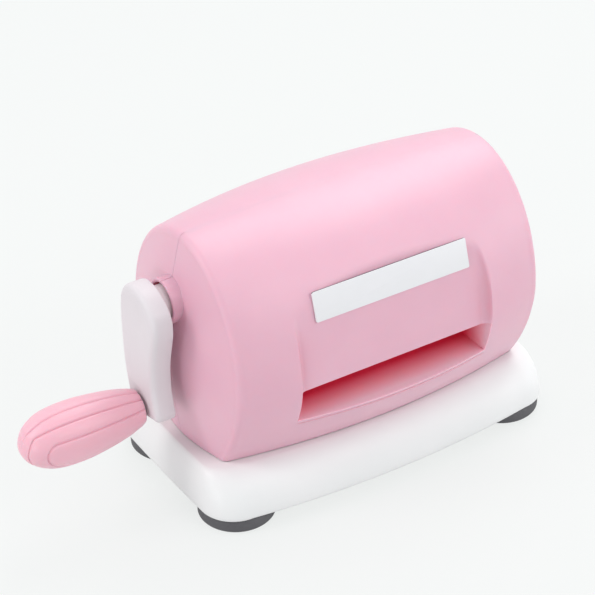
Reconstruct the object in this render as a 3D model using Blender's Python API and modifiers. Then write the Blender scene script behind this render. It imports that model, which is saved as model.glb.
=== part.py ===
"""Hand-cranked die cutting machine, built as separate parts. Metres, +Z up, floor at z = 0.

A two-part barrel housing stands on a moulded base with suction feet. A crank on the left end
turns a pinion, which drives the upper roller, and a pair of equal gears turns the lower roller
the other way. A stack of plates is fed through the slot, from the front to the rear.
"""
import math

import bmesh
import bpy
from mathutils import Vector

MM = 0.001

# Clearances and drawing values
GAP = 0.3 * MM
OVERRUN = 5.0 * MM
MERGE = 0.01 * MM
PRESSURE_ANGLE = math.radians(20)
SHARP_ANGLE = math.radians(30)
EDGE_ANGLE = math.radians(50)
BARREL_SIDES = 48
LINING_SIDES = 28
ROLLER_SIDES = 28
ROUND_SIDES = 16
FOOT_SIDES = 20
SCREW_SIDES = 8

# Feet and base
FOOT_INSET_X = 19.0 * MM
FOOT_INSET_Y = 18.3 * MM
FOOT_RADIUS = 18.2 * MM
FOOT_HEIGHT = 6.9 * MM
FOOT_RIM = 7.0 * MM
FOOT_HOLLOW = 3.0 * MM
FOOT_EDGE = 1.2 * MM
BASE_MARGIN_ENDS = 16.1 * MM
BASE_HALF_WIDTH = 50.2 * MM
BASE_SIDE_BULGE = 5.9 * MM
BASE_END_BULGE = 0.4 * MM
BASE_CORNER = 17.4 * MM
BASE_HEIGHT = 20.7 * MM
BASE_WALL = 2.4 * MM
SKIRT_LEAN_ENDS = 5.5 * MM
SKIRT_LEAN_SIDES = 15.7 * MM
DECK_SIDE_BULGE = 6.5 * MM
DECK_CORNER = 11.0 * MM
DECK_TO_GEAR = 7.0 * MM
DECK_TO_FRAME = 3.0 * MM
POST_RADIUS = 4.6 * MM
PLATE_THICKNESS = 3.0 * MM
SKIRT_POWER = 1.75

# Barrel housing
BARREL_X = 1.2 * MM
BARREL_HALF_LENGTH = 77.9 * MM
BARREL_HALF_WIDTH = 61.8 * MM
BARREL_END_HALF_WIDTH = 48.4 * MM
BARREL_CENTRE_RISE = 45.5 * MM
BARREL_TOP = 63.2 * MM
BARREL_END_TOP = 60.5 * MM
BARREL_BOTTOM = 67.7 * MM
BARREL_TOP_POWER = 2.0
BARREL_BOTTOM_POWER = 1.64
END_FILLET = 3.8 * MM
END_DOME = 8.0 * MM
WALL = 2.5 * MM
PANEL_DEPTH = 7.8 * MM
PANEL_RADIUS = 157.0 * MM
PANEL_UPRIGHT_DROP = 11.4 * MM
PANEL_CUT_DROP = 13.4 * MM
PANEL_CUT_RISE = 58.6 * MM
PANEL_SIDE_SLOPE = 0.52

# Feed slot
SLOT_LEFT_INSET = 25.9 * MM
SLOT_RIGHT_INSET = 27.9 * MM
SLOT_DROP = 21.4 * MM
SLOT_HEIGHT = 17.5 * MM
SLOT_WALL = 2.0 * MM
SLOT_TO_PANEL = 5.0 * MM

# Rollers and side plates
ROLLER_RADIUS = 12.0 * MM
ROLLER_GAP = 12.0 * MM
ROLLER_ABOVE_FLOOR = 1.5 * MM
ROLLER_TO_SLOT = 2.5 * MM
SHAFT_RADIUS = 4.0 * MM
FRAME_CLEARANCE = 3.5 * MM
FRAME_THICKNESS = 3.0 * MM
FRAME_HALF_WIDTH = 19.0 * MM
FRAME_CORNER = 8.0 * MM
FRAME_TOP_MARGIN = 11.0 * MM
FLANGE_LENGTH = 14.0 * MM
FLANGE_SET_IN = 2.0 * MM
FLANGE_THICKNESS = 2.5 * MM
FLANGE_SCREW_INSET = 6.5 * MM
BUSH_RADIUS = 6.0 * MM
BUSH_FLANGE_RADIUS = 7.8 * MM
BUSH_FLANGE = 1.0 * MM
ROD_RADIUS = 3.4 * MM
ROD_SPIGOT = 2.1 * MM
ROD_HEAD = 3.2 * MM
ROD_HEAD_THICKNESS = 1.1 * MM
ROD_INSET = 5.5 * MM
ROD_RISE = 9.5 * MM
ROD_ABOVE_ROLLER = 20.5 * MM

# Gears
DRIVE_MODULE = 1.25 * MM
PINION_TEETH = 14
DRIVE_TEETH = 26
SYNC_TEETH = 24
GEAR_WIDTH = 8.0 * MM
GEAR_TO_FRAME = 2.5 * MM
BACKLASH = 0.3 * MM
TIP_SHARE = 0.95
ROOT_SHARE = 1.2

# Crank and its hub
HUB_RADIUS = 10.9 * MM
HUB_PROUD = 2.0 * MM
HUB_LENGTH = 11.2 * MM
HUB_INNER_RADIUS = 10.4 * MM
HUB_POCKET_RADIUS = 9.2 * MM
HUB_POCKET_DEPTH = 4.2 * MM
HUB_BUSH_RADIUS = 6.4 * MM
HUB_BUSH_FLANGE_RADIUS = 8.6 * MM
HUB_BUSH_FLANGE = 1.2 * MM
COLLAR_RADIUS = 8.0 * MM
ARM_STANDOFF = 3.9 * MM
ARM_THICKNESS = 10.1 * MM
ARM_HEAD_RADIUS = 17.0 * MM
ARM_EDGE = 2.2 * MM
CRANK_THROW = 50.9 * MM
SQUARE_SIZE = 5.6 * MM
SQUARE_IN_ARM = 5.8 * MM
CLIP_THICKNESS = 1.0 * MM
CLIP_RADIUS = 6.4 * MM
CLIP_GROOVE = 0.7 * MM
GRIP_LENGTH = 59.3 * MM
GRIP_RADIUS = 14.3 * MM
GRIP_PIN_RADIUS = 3.2 * MM
GRIP_PIN_IN_ARM = 7.5 * MM
GRIP_PIN_REACH = 48.0 * MM
WASHER_RADIUS = 5.6 * MM
WASHER_THICKNESS = 1.0 * MM

# Name plate
NAME_INSET_LEFT = 5.7 * MM
NAME_INSET_RIGHT = 4.3 * MM
NAME_HEIGHT = 14.2 * MM
NAME_THICKNESS = 0.8 * MM
NAME_EDGE = 0.2 * MM
NAME_RISE = 33.8 * MM

# Screws
HOUSING_SCREW_HIGH_INSET = 32.9 * MM
HOUSING_SCREW_HIGH_DROP = 19.1 * MM
HOUSING_SCREW_LOW_INSET = 4.4 * MM
HOUSING_SCREW_LOW_RISE = 12.8 * MM
HOUSING_SCREW_SEAT = 20.0 * MM
HOUSING_SCREW_LENGTH = 31.0 * MM
HOUSING_BOSS = 5.0 * MM
SCREW_RADIUS = 1.5 * MM
SCREW_HEAD_RADIUS = 3.0 * MM
SCREW_HEAD = 2.0 * MM
BASE_SCREW_X = 40.0 * MM
BASE_SCREW_INSET = 3.0 * MM
BASE_SCREW_LENGTH = 11.0 * MM
BASE_BLOCK_WIDTH = 10.0 * MM
BASE_BLOCK_HEIGHT = 11.0 * MM
FOOT_SCREW_LENGTH = 14.0 * MM

# Places worked out from the sizes above
RIM_Z = FOOT_HEIGHT + GAP
DECK_Z = RIM_Z + BASE_HEIGHT
BASE_HALF_LENGTH = BARREL_HALF_LENGTH + BASE_MARGIN_ENDS
BARREL_CENTRE_HEIGHT = DECK_Z + BARREL_CENTRE_RISE
HOUSING_Z = DECK_Z + GAP
FOOT_X = BASE_HALF_LENGTH - FOOT_INSET_X
FOOT_Y = BASE_HALF_WIDTH - FOOT_INSET_Y
DECK_HALF_LENGTH = BASE_HALF_LENGTH - SKIRT_LEAN_ENDS
DECK_HALF_WIDTH = BASE_HALF_WIDTH - SKIRT_LEAN_SIDES
BASE_SCREW_Y = DECK_HALF_WIDTH - BASE_SCREW_INSET
SLOT_LEFT = SLOT_LEFT_INSET - BARREL_HALF_LENGTH
SLOT_RIGHT = BARREL_HALF_LENGTH - SLOT_RIGHT_INSET
SLOT_FLOOR = BARREL_CENTRE_HEIGHT - SLOT_DROP
SLOT_CEILING = SLOT_FLOOR + SLOT_HEIGHT
PANEL_LEFT = SLOT_LEFT + SLOT_TO_PANEL
PANEL_RIGHT = SLOT_RIGHT - SLOT_TO_PANEL
PANEL_FRONT = BARREL_HALF_WIDTH - PANEL_DEPTH
PANEL_UPRIGHT_HEIGHT = BARREL_CENTRE_HEIGHT - PANEL_UPRIGHT_DROP
PANEL_CUT_LOW = BARREL_CENTRE_HEIGHT - PANEL_CUT_DROP
PANEL_CUT_HIGH = BARREL_CENTRE_HEIGHT + PANEL_CUT_RISE
NAME_LEFT = PANEL_LEFT + NAME_INSET_LEFT
NAME_RIGHT = PANEL_RIGHT - NAME_INSET_RIGHT
NAME_CENTRE_Z = BARREL_CENTRE_HEIGHT + NAME_RISE
PLATE_TOP = RIM_Z + PLATE_THICKNESS
LOWER_ROLLER_Z = SLOT_FLOOR + ROLLER_ABOVE_FLOOR - ROLLER_RADIUS
UPPER_ROLLER_Z = LOWER_ROLLER_Z + 2 * ROLLER_RADIUS + ROLLER_GAP
SYNC_MODULE = (UPPER_ROLLER_Z - LOWER_ROLLER_Z) / SYNC_TEETH
ROD_LOW_Z = PLATE_TOP + GAP + ROD_RISE
ROD_HIGH_Z = UPPER_ROLLER_Z + ROD_ABOVE_ROLLER
CRANK_Z = UPPER_ROLLER_Z + DRIVE_MODULE * (PINION_TEETH + DRIVE_TEETH) / 2
GRIP_Z = CRANK_Z - CRANK_THROW
FRAME_LEFT = SLOT_LEFT - FRAME_CLEARANCE
FRAME_RIGHT = SLOT_RIGHT + FRAME_CLEARANCE
FRAME_LEFT_OUTER = FRAME_LEFT - FRAME_THICKNESS
FRAME_RIGHT_OUTER = FRAME_RIGHT + FRAME_THICKNESS
BORE_RADIUS = SHAFT_RADIUS + GAP
FLANGE_HALF_WIDTH = FRAME_HALF_WIDTH - FLANGE_SET_IN
FLANGE_SCREW_Y = FRAME_HALF_WIDTH - FLANGE_SCREW_INSET
ROD_Y = FRAME_HALF_WIDTH - ROD_INSET
GEAR_LEFT = FRAME_LEFT_OUTER - GEAR_TO_FRAME - GEAR_WIDTH / 2
GEAR_RIGHT = FRAME_RIGHT_OUTER + GEAR_TO_FRAME + GEAR_WIDTH / 2
HUB_X = BARREL_X - BARREL_HALF_LENGTH - END_FILLET - END_DOME - HUB_PROUD
HUB_WALL_X = HUB_X + HUB_LENGTH
POCKET_X = HUB_X + HUB_POCKET_DEPTH
ARM_INNER = HUB_X - ARM_STANDOFF
ARM_OUTER = ARM_INNER - ARM_THICKNESS
GRIP_ROOT = ARM_OUTER - WASHER_THICKNESS - 2 * GAP
GRIP_TIP = GRIP_ROOT - GRIP_LENGTH
WIDE = 2 * BARREL_HALF_WIDTH

# The origin is under the middle of the whole machine, crank included
MACHINE_X = -(GRIP_TIP + BASE_HALF_LENGTH + BASE_END_BULGE) / 2

# Where the skirt's sections stand between rim and deck, and how far in the domes' sections lie
SKIRT_SHARES = (0, 0.3, 0.55, 0.76, 0.92, 1)
DOME_SHARES = (0.82, 0.55, 0.24)

# The arm's edge as shares of its head's radius across, and of the crank's throw down
ARM_EDGE_SHARES = (
    (-0.02, -0.240),
    (-0.31, -0.222),
    (-0.55, -0.179),
    (-0.75, -0.124),
    (-0.91, -0.063),
    (-1.00, 0.020),
    (-1.00, 0.128),
    (-0.92, 0.246),
    (-0.82, 0.373),
    (-0.74, 0.501),
    (-0.71, 0.629),
    (-0.71, 0.737),
    (-0.76, 0.845),
    (-0.83, 0.943),
    (-0.86, 1.008),
    (-0.78, 1.053),
    (-0.53, 1.069),
    (-0.24, 1.092),
    (0.06, 1.106),
    (0.35, 1.096),
    (0.56, 1.047),
    (0.68, 0.972),
    (0.73, 0.904),
    (0.79, 0.825),
    (0.85, 0.707),
    (0.90, 0.550),
    (0.91, 0.393),
    (0.91, 0.255),
    (0.89, 0.118),
    (0.86, 0.010),
    (0.78, -0.090),
    (0.60, -0.177),
    (0.31, -0.232),
)

# The grip's outline: shares of its length from the root, and of its largest radius
GRIP_SHARES = (
    (0.985, 0.27),
    (0.94, 0.55),
    (0.875, 0.755),
    (0.79, 0.90),
    (0.68, 0.985),
    (0.52, 1.00),
    (0.38, 0.95),
    (0.24, 0.868),
    (0.13, 0.775),
    (0.07, 0.70),
    (0.035, 0.655),
    (0.012, 0.615),
    (0.00, 0.56),
)

ALONG_X = (0, math.pi / 2, 0)
TOWARDS_GRIP = (0, -math.pi / 2, 0)
ALONG_Y = (-math.pi / 2, 0, 0)
UPRIGHT = (0, 0, 0)

for old_object in list(bpy.data.objects):
    bpy.data.objects.remove(old_object, do_unlink=True)

part_collection = bpy.data.collections.new("die_cutting_machine")
cutter_collection = bpy.data.collections.new("cutters")
bpy.context.scene.collection.children.link(part_collection)
bpy.context.scene.collection.children.link(cutter_collection)

machine = bpy.data.objects.new("machine", None)
machine.location = (MACHINE_X, 0, 0)
part_collection.objects.link(machine)


def material(name, colour, roughness, metallic=0):
    """A Principled material with one colour."""
    made = bpy.data.materials.new(name)
    made.use_nodes = True
    shader = made.node_tree.nodes["Principled BSDF"]
    shader.inputs["Base Color"].default_value = (*colour, 1)
    shader.inputs["Roughness"].default_value = roughness
    shader.inputs["Metallic"].default_value = metallic
    made.diffuse_color = (*colour, 1)
    return made


PINK = material("pink_plastic", (0.81, 0.45, 0.55), 0.42)
GRIP_PINK = material("grip_pink_plastic", (0.80, 0.40, 0.46), 0.45)
WHITE = material("white_plastic", (0.80, 0.80, 0.79), 0.4)
PALE_GREY = material("pale_grey_plastic", (0.74, 0.70, 0.71), 0.42)
RUBBER = material("dark_rubber", (0.055, 0.053, 0.06), 0.7)
STEEL = material("steel", (0.62, 0.62, 0.63), 0.3, 1)
PLATED = material("zinc_plated_steel", (0.55, 0.56, 0.58), 0.38, 1)
NYLON = material("white_nylon", (0.78, 0.77, 0.72), 0.5)


def place(piece, location, turn, collection):
    """Put an object in the machine's frame."""
    piece.location = location
    piece.rotation_euler = turn
    piece.parent = machine
    collection.objects.link(piece)
    return piece


def part(name, mesh, finish, location=(0, 0, 0), turn=UPRIGHT):
    """A piece of the machine."""
    mesh.materials.append(finish)
    piece = bpy.data.objects.new(name, mesh)
    return place(piece, location, turn, part_collection)


def cutter(name, mesh, location=(0, 0, 0), turn=UPRIGHT):
    """A shape that is only used to cut or fill another one."""
    shape = bpy.data.objects.new(name, mesh)
    shape.hide_render = True
    shape.display_type = "WIRE"
    return place(shape, location, turn, cutter_collection)


def combine(piece, shape, operation="DIFFERENCE"):
    """Cut a piece by a shape, or join the shape to it."""
    boolean = piece.modifiers.new(shape.name, "BOOLEAN")
    boolean.object = shape
    boolean.operation = operation
    boolean.solver = "EXACT"
    return piece


def box_mesh(low, high):
    """A box between two corners, from the cube primitive."""
    shape = bmesh.new()
    bmesh.ops.create_cube(shape, size=1)
    size = Vector(high) - Vector(low)
    bmesh.ops.scale(shape, vec=size, verts=shape.verts)
    bmesh.ops.translate(shape, vec=(Vector(high) + Vector(low)) / 2, verts=shape.verts)
    mesh = bpy.data.meshes.new("box")
    shape.to_mesh(mesh)
    shape.free()
    return mesh


def rod_mesh(radius, length, sides):
    """A cylinder along local Z, centred, from the cone primitive."""
    shape = bmesh.new()
    bmesh.ops.create_cone(shape, cap_ends=True, segments=sides, radius1=radius, radius2=radius, depth=length)
    mesh = bpy.data.meshes.new("rod")
    shape.to_mesh(mesh)
    shape.free()
    return mesh


def loft_mesh(name, rings):
    """A closed skin through rings of unlike shape, with a flat cap at each end."""
    shape = bmesh.new()
    rows = [[shape.verts.new(point) for point in ring] for ring in rings]
    count = len(rings[0])
    for row, following in zip(rows, rows[1:]):
        for index in range(count):
            after = (index + 1) % count
            shape.faces.new((row[index], row[after], following[after], following[index]))
    shape.faces.new(rows[0])
    shape.faces.new(rows[-1])
    bmesh.ops.recalc_face_normals(shape, faces=shape.faces)
    bmesh.ops.triangulate(shape, faces=shape.faces)
    mesh = bpy.data.meshes.new(name)
    shape.to_mesh(mesh)
    shape.free()
    return mesh


def turned(name, profile, finish, location, turn, steps=ROUND_SIDES):
    """A turned piece: its profile runs down the outer side, and back up any bore."""
    mesh = bpy.data.meshes.new(name)
    count = len(profile)
    edges = [(index, index + 1) for index in range(count - 1)]
    has_bore = profile[0][0] > 0
    if has_bore:
        edges.append((count - 1, 0))
    mesh.from_pydata([(radius, 0, height) for radius, height in profile], edges, [])
    piece = part(name, mesh, finish, location, turn)
    screw = piece.modifiers.new("Turn", "SCREW")
    screw.steps = steps
    screw.render_steps = steps
    screw.use_merge_vertices = True
    screw.merge_threshold = MERGE
    return piece


def sleeve(name, outer, bore, low, high, finish, location, turn, steps=ROUND_SIDES):
    """A plain ring with a bore."""
    profile = [(outer, high), (outer, low), (bore, low), (bore, high)]
    return turned(name, profile, finish, location, turn, steps)


def outline_mesh(name, loops, thickness):
    """A flat outline with any holes, made thick, from a filled 2D curve along local Z."""
    curve = bpy.data.curves.new(name, "CURVE")
    curve.dimensions = "2D"
    curve.fill_mode = "BOTH"
    curve.extrude = thickness / 2
    for loop in loops:
        spline = curve.splines.new("POLY")
        spline.points.add(len(loop) - 1)
        for point, (across, along) in zip(spline.points, loop):
            point.co = (across, along, 0, 1)
        spline.use_cyclic_u = True
    guide = bpy.data.objects.new(name, curve)
    cutter_collection.objects.link(guide)
    bpy.context.view_layer.update()
    seen = guide.evaluated_get(bpy.context.evaluated_depsgraph_get())
    mesh = bpy.data.meshes.new_from_object(seen)
    bpy.data.objects.remove(guide, do_unlink=True)
    shape = bmesh.new()
    shape.from_mesh(mesh)
    bmesh.ops.remove_doubles(shape, verts=shape.verts, dist=MERGE)
    bmesh.ops.recalc_face_normals(shape, faces=shape.faces)
    shape.to_mesh(mesh)
    shape.free()
    return mesh


def circle(radius, sides, centre=(0, 0)):
    """Points round a circle."""
    points = []
    for step in range(sides):
        angle = 2 * math.pi * step / sides
        points.append((centre[0] + radius * math.cos(angle), centre[1] + radius * math.sin(angle)))
    return points


def rounded_rectangle(low, high, corner, steps=4):
    """Points round a rectangle with round corners."""
    points = []
    centres = ((high[0], high[1], -1, -1), (low[0], high[1], 1, -1), (low[0], low[1], 1, 1), (high[0], low[1], -1, 1))
    for quarter, (x, y, inward_x, inward_y) in enumerate(centres):
        for step in range(steps + 1):
            angle = math.pi / 2 * (quarter + step / steps)
            across = x + inward_x * corner + corner * math.cos(angle)
            along = y + inward_y * corner + corner * math.sin(angle)
            points.append((across, along))
    return points


def base_outline(half_length, half_width, side_bulge, end_bulge, corner, height):
    """The base seen from above: round corners, with sides and ends that bulge between them."""
    corner_steps = 4
    side_steps = 6
    end_steps = 3
    straight_x = half_length - corner
    straight_y = half_width - corner
    points = []
    for quarter, (side_x, side_y) in enumerate(((1, 1), (-1, 1), (-1, -1), (1, -1))):
        for step in range(corner_steps + 1):
            angle = math.pi / 2 * (quarter + step / corner_steps)
            x = side_x * straight_x + corner * math.cos(angle)
            y = side_y * straight_y + corner * math.sin(angle)
            points.append(Vector((x, y, height)))
        along_side = quarter % 2 == 0
        steps = side_steps if along_side else end_steps
        for step in range(1, steps):
            share = 1 - 2 * step / steps
            rise = 1 - share * share
            if along_side:
                x = side_x * straight_x * share
                y = side_y * (half_width + side_bulge * rise)
            else:
                x = side_x * (half_length + end_bulge * rise)
                y = side_y * straight_y * share
            points.append(Vector((x, y, height)))
    return points


def skirt_rings(inset, low, high):
    """Sections of the base from its rim up to its deck, on a rounded shoulder."""
    rings = []
    for share in SKIRT_SHARES:
        lean = 1 - (1 - share ** SKIRT_POWER) ** (1 / SKIRT_POWER)
        half_length = BASE_HALF_LENGTH + (DECK_HALF_LENGTH - BASE_HALF_LENGTH) * lean - inset
        half_width = BASE_HALF_WIDTH + (DECK_HALF_WIDTH - BASE_HALF_WIDTH) * lean - inset
        side_bulge = BASE_SIDE_BULGE + (DECK_SIDE_BULGE - BASE_SIDE_BULGE) * lean
        corner = BASE_CORNER + (DECK_CORNER - BASE_CORNER) * lean - inset
        height = low + (high - low) * share
        rings.append(base_outline(half_length, half_width, side_bulge, BASE_END_BULGE, corner, height))
    return rings


def barrel_size(x):
    """Half width, height above and height below the barrel's centre line, at a distance from its middle."""
    share = (x / BARREL_HALF_LENGTH) ** 2
    width = BARREL_HALF_WIDTH - (BARREL_HALF_WIDTH - BARREL_END_HALF_WIDTH) * share
    top = BARREL_TOP - (BARREL_TOP - BARREL_END_TOP) * share
    return width, top, BARREL_BOTTOM


def barrel_ring(x, size, sides):
    """One section of the barrel: an ellipse above, and a narrower curve below."""
    width, top, bottom = size
    ring = []
    for step in range(sides):
        angle = 2 * math.pi * (step + 0.5) / sides
        across = math.cos(angle)
        rise = math.sin(angle)
        power = BARREL_TOP_POWER if rise >= 0 else BARREL_BOTTOM_POWER
        reach = top if rise >= 0 else bottom
        y = width * math.copysign(abs(across) ** (2 / power), across)
        z = reach * math.copysign(abs(rise) ** (2 / power), rise)
        ring.append(Vector((BARREL_X + x, y, BARREL_CENTRE_HEIGHT + z)))
    return ring


def barrel_rings(inset, sides, runs, fillet_steps):
    """Sections of the barrel with its rounded edges and domed ends, drawn in by an inset."""
    half = []
    for step in range(1, fillet_steps + 1):
        angle = math.pi / 2 * step / fillet_steps
        drawn_in = inset + END_FILLET * (1 - math.cos(angle))
        size = [value - drawn_in for value in barrel_size(BARREL_HALF_LENGTH)]
        half.append((BARREL_HALF_LENGTH + END_FILLET * math.sin(angle) - inset * step / fillet_steps, size))
    edge = [value - inset - END_FILLET for value in barrel_size(BARREL_HALF_LENGTH)]
    for share in DOME_SHARES:
        reach = BARREL_HALF_LENGTH + END_FILLET + END_DOME * (1 - share ** 2) - inset
        half.append((reach, [value * share for value in edge]))
    rings = [barrel_ring(-x, size, sides) for x, size in reversed(half)]
    for step in range(runs + 1):
        x = BARREL_HALF_LENGTH * (2 * step / runs - 1)
        rings.append(barrel_ring(x, [value - inset for value in barrel_size(x)], sides))
    rings.extend(barrel_ring(x, size, sides) for x, size in half)
    return rings


def panel_front(height):
    """How far the flat panel lies from the seam plane: a slight curve that leans back upwards."""
    rise = height - PANEL_UPRIGHT_HEIGHT
    return PANEL_FRONT - rise * rise / (2 * PANEL_RADIUS)


def panel_shape(name, side, inward, sideways):
    """The space in front of the panel, whose ends flare out to the barrel's surface."""
    steps = 5
    profile = []
    for step in range(steps + 1):
        height = PANEL_CUT_LOW + (PANEL_CUT_HIGH - PANEL_CUT_LOW) * step / steps
        profile.append((panel_front(height) - inward, height))
    profile.append((WIDE, PANEL_CUT_HIGH))
    profile.append((WIDE, PANEL_CUT_LOW))
    flare = 2 * OVERRUN
    rings = []
    for x, shift in (
        (PANEL_LEFT - sideways - flare, flare * PANEL_SIDE_SLOPE),
        (PANEL_LEFT - sideways, 0),
        (PANEL_RIGHT + sideways, 0),
        (PANEL_RIGHT + sideways + flare, flare * PANEL_SIDE_SLOPE),
    ):
        rings.append([Vector((x, side * (y + shift), z)) for y, z in profile])
    return cutter(name, loft_mesh(name, rings))


def cross_cutter(name, radius, x, z, low_y, high_y, sides=SCREW_SIDES):
    """A cylinder from front to rear."""
    mesh = rod_mesh(radius, high_y - low_y, sides)
    return cutter(name, mesh, (x, (low_y + high_y) / 2, z), ALONG_Y)


def axle_cutter(name, radius, y, z, low_x, high_x, sides=ROUND_SIDES):
    """A cylinder along the machine."""
    mesh = rod_mesh(radius, high_x - low_x, sides)
    return cutter(name, mesh, ((low_x + high_x) / 2, y, z), ALONG_X)


def upright_cutter(name, radius, x, y, low_z, high_z, sides=SCREW_SIDES):
    """An upright cylinder."""
    mesh = rod_mesh(radius, high_z - low_z, sides)
    return cutter(name, mesh, (x, y, (low_z + high_z) / 2))


def screw_part(name, length, location, turn, finish=PLATED):
    """A screw whose head's seat is at its origin and whose shank runs along local -Z."""
    profile = [
        (0, SCREW_HEAD),
        (SCREW_HEAD_RADIUS, SCREW_HEAD),
        (SCREW_HEAD_RADIUS, 0),
        (SCREW_RADIUS, 0),
        (SCREW_RADIUS, -length + SCREW_RADIUS),
        (0, -length),
    ]
    return turned(name, profile, finish, location, turn, SCREW_SIDES)


HIGH_SCREW_X = BARREL_HALF_LENGTH - HOUSING_SCREW_HIGH_INSET
HIGH_SCREW_Z = BARREL_CENTRE_HEIGHT + BARREL_TOP - HOUSING_SCREW_HIGH_DROP
LOW_SCREW_X = BARREL_HALF_LENGTH - HOUSING_SCREW_LOW_INSET
LOW_SCREW_Z = HOUSING_Z + HOUSING_SCREW_LOW_RISE
HOUSING_SCREWS = {
    "high_left": (-HIGH_SCREW_X, HIGH_SCREW_Z),
    "high_right": (HIGH_SCREW_X, HIGH_SCREW_Z),
    "low_left": (-LOW_SCREW_X, LOW_SCREW_Z),
    "low_right": (LOW_SCREW_X, LOW_SCREW_Z),
}
CORNERS = {"front_left": (-1, -1), "front_right": (1, -1), "rear_left": (-1, 1), "rear_right": (1, 1)}


def make_housing():
    """The two halves of the barrel: one hollow form, split on the seam plane."""
    cavity = cutter("cavity", loft_mesh("cavity", barrel_rings(WALL, LINING_SIDES, 4, 1)))
    for side, end in ((-1, "front"), (1, "rear")):
        combine(cavity, panel_shape(end + "_panel_back", side, WALL, WALL))
        low_y, high_y = sorted((side * (ROLLER_RADIUS + ROLLER_TO_SLOT), side * WIDE))
        tunnel = box_mesh(
            (SLOT_LEFT - SLOT_WALL, low_y, SLOT_FLOOR - SLOT_WALL),
            (SLOT_RIGHT + SLOT_WALL, high_y, SLOT_CEILING + SLOT_WALL),
        )
        combine(cavity, cutter(end + "_slot_walls", tunnel))
        for side_x in (-1, 1):
            low_y, high_y = sorted((side * (BASE_SCREW_Y - BASE_BLOCK_WIDTH / 2), side * WIDE))
            middle_x = side_x * BASE_SCREW_X
            block = box_mesh(
                (middle_x - BASE_BLOCK_WIDTH / 2, low_y, HOUSING_Z - OVERRUN),
                (middle_x + BASE_BLOCK_WIDTH / 2, high_y, HOUSING_Z + BASE_BLOCK_HEIGHT),
            )
            combine(cavity, cutter("%s_block_%d" % (end, side_x), block))
    for name, (x, z) in HOUSING_SCREWS.items():
        combine(cavity, cross_cutter(name + "_boss", HOUSING_BOSS, x, z, -WIDE, WIDE, ROUND_SIDES))
    hub_reach = HUB_X - OVERRUN
    combine(cavity, axle_cutter("hub_inner", HUB_INNER_RADIUS, 0, CRANK_Z, hub_reach, HUB_WALL_X))

    barrel = barrel_rings(0, BARREL_SIDES, 6, 2)
    hub = axle_cutter("hub_outer", HUB_RADIUS, 0, CRANK_Z, HUB_X, HUB_WALL_X - WALL, ROLLER_SIDES)
    pocket = axle_cutter("hub_pocket", HUB_POCKET_RADIUS, 0, CRANK_Z, hub_reach, POCKET_X)
    hub_bore = axle_cutter("hub_bore", HUB_BUSH_RADIUS + GAP, 0, CRANK_Z, hub_reach, HUB_WALL_X + OVERRUN)
    slot = cutter("slot", box_mesh((SLOT_LEFT, -WIDE, SLOT_FLOOR), (SLOT_RIGHT, WIDE, SLOT_CEILING)))
    below = box_mesh((-2 * WIDE, -WIDE, -OVERRUN), (2 * WIDE, WIDE, HOUSING_Z))
    underside = cutter("housing_underside", below)
    front_recess = panel_shape("front_recess", -1, 0, 0)
    rear_recess = panel_shape("rear_recess", 1, 0, 0)
    seat = HOUSING_SCREW_SEAT
    tip = seat - HOUSING_SCREW_LENGTH
    for end, side in (("front", -1), ("rear", 1)):
        housing = part(end + "_housing", loft_mesh(end + "_housing", barrel), PINK)
        combine(housing, front_recess if side < 0 else rear_recess)
        combine(housing, cavity)
        combine(housing, hub, "UNION")
        combine(housing, pocket)
        combine(housing, hub_bore)
        combine(housing, slot)
        combine(housing, underside)
        for name, (x, z) in HOUSING_SCREWS.items():
            if side < 0:
                combine(housing, cross_cutter(name + "_pilot", SCREW_RADIUS + GAP, x, z, tip - GAP, OVERRUN))
            else:
                combine(housing, cross_cutter(name + "_hole", SCREW_RADIUS + GAP, x, z, -OVERRUN, seat + OVERRUN))
                well = cross_cutter(name + "_well", SCREW_HEAD_RADIUS + GAP, x, z, seat - GAP, WIDE, ROUND_SIDES)
                combine(housing, well)
        for side_x in (-1, 1):
            hole = upright_cutter(
                "%s_base_pilot_%d" % (end, side_x),
                SCREW_RADIUS + GAP,
                side_x * BASE_SCREW_X,
                side * BASE_SCREW_Y,
                HOUSING_Z - OVERRUN,
                DECK_Z - BASE_WALL + BASE_SCREW_LENGTH + GAP,
            )
            combine(housing, hole)
        low_y, high_y = sorted((-side * WIDE, side * GAP / 2))
        other_half = box_mesh((-2 * WIDE, low_y, -OVERRUN), (2 * WIDE, high_y, 2 * WIDE))
        combine(housing, cutter(end + "_seam", other_half))
        shade_smooth(housing)
    for name, (x, z) in HOUSING_SCREWS.items():
        screw_part("housing_screw_" + name, HOUSING_SCREW_LENGTH, (x, seat, z), ALONG_Y)


def shade_smooth(piece):
    """Smooth shading with sharp edges past an angle, on the piece's own mesh."""
    piece.data.shade_smooth()
    piece.data.set_sharp_from_angle(angle=SHARP_ANGLE)


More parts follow.
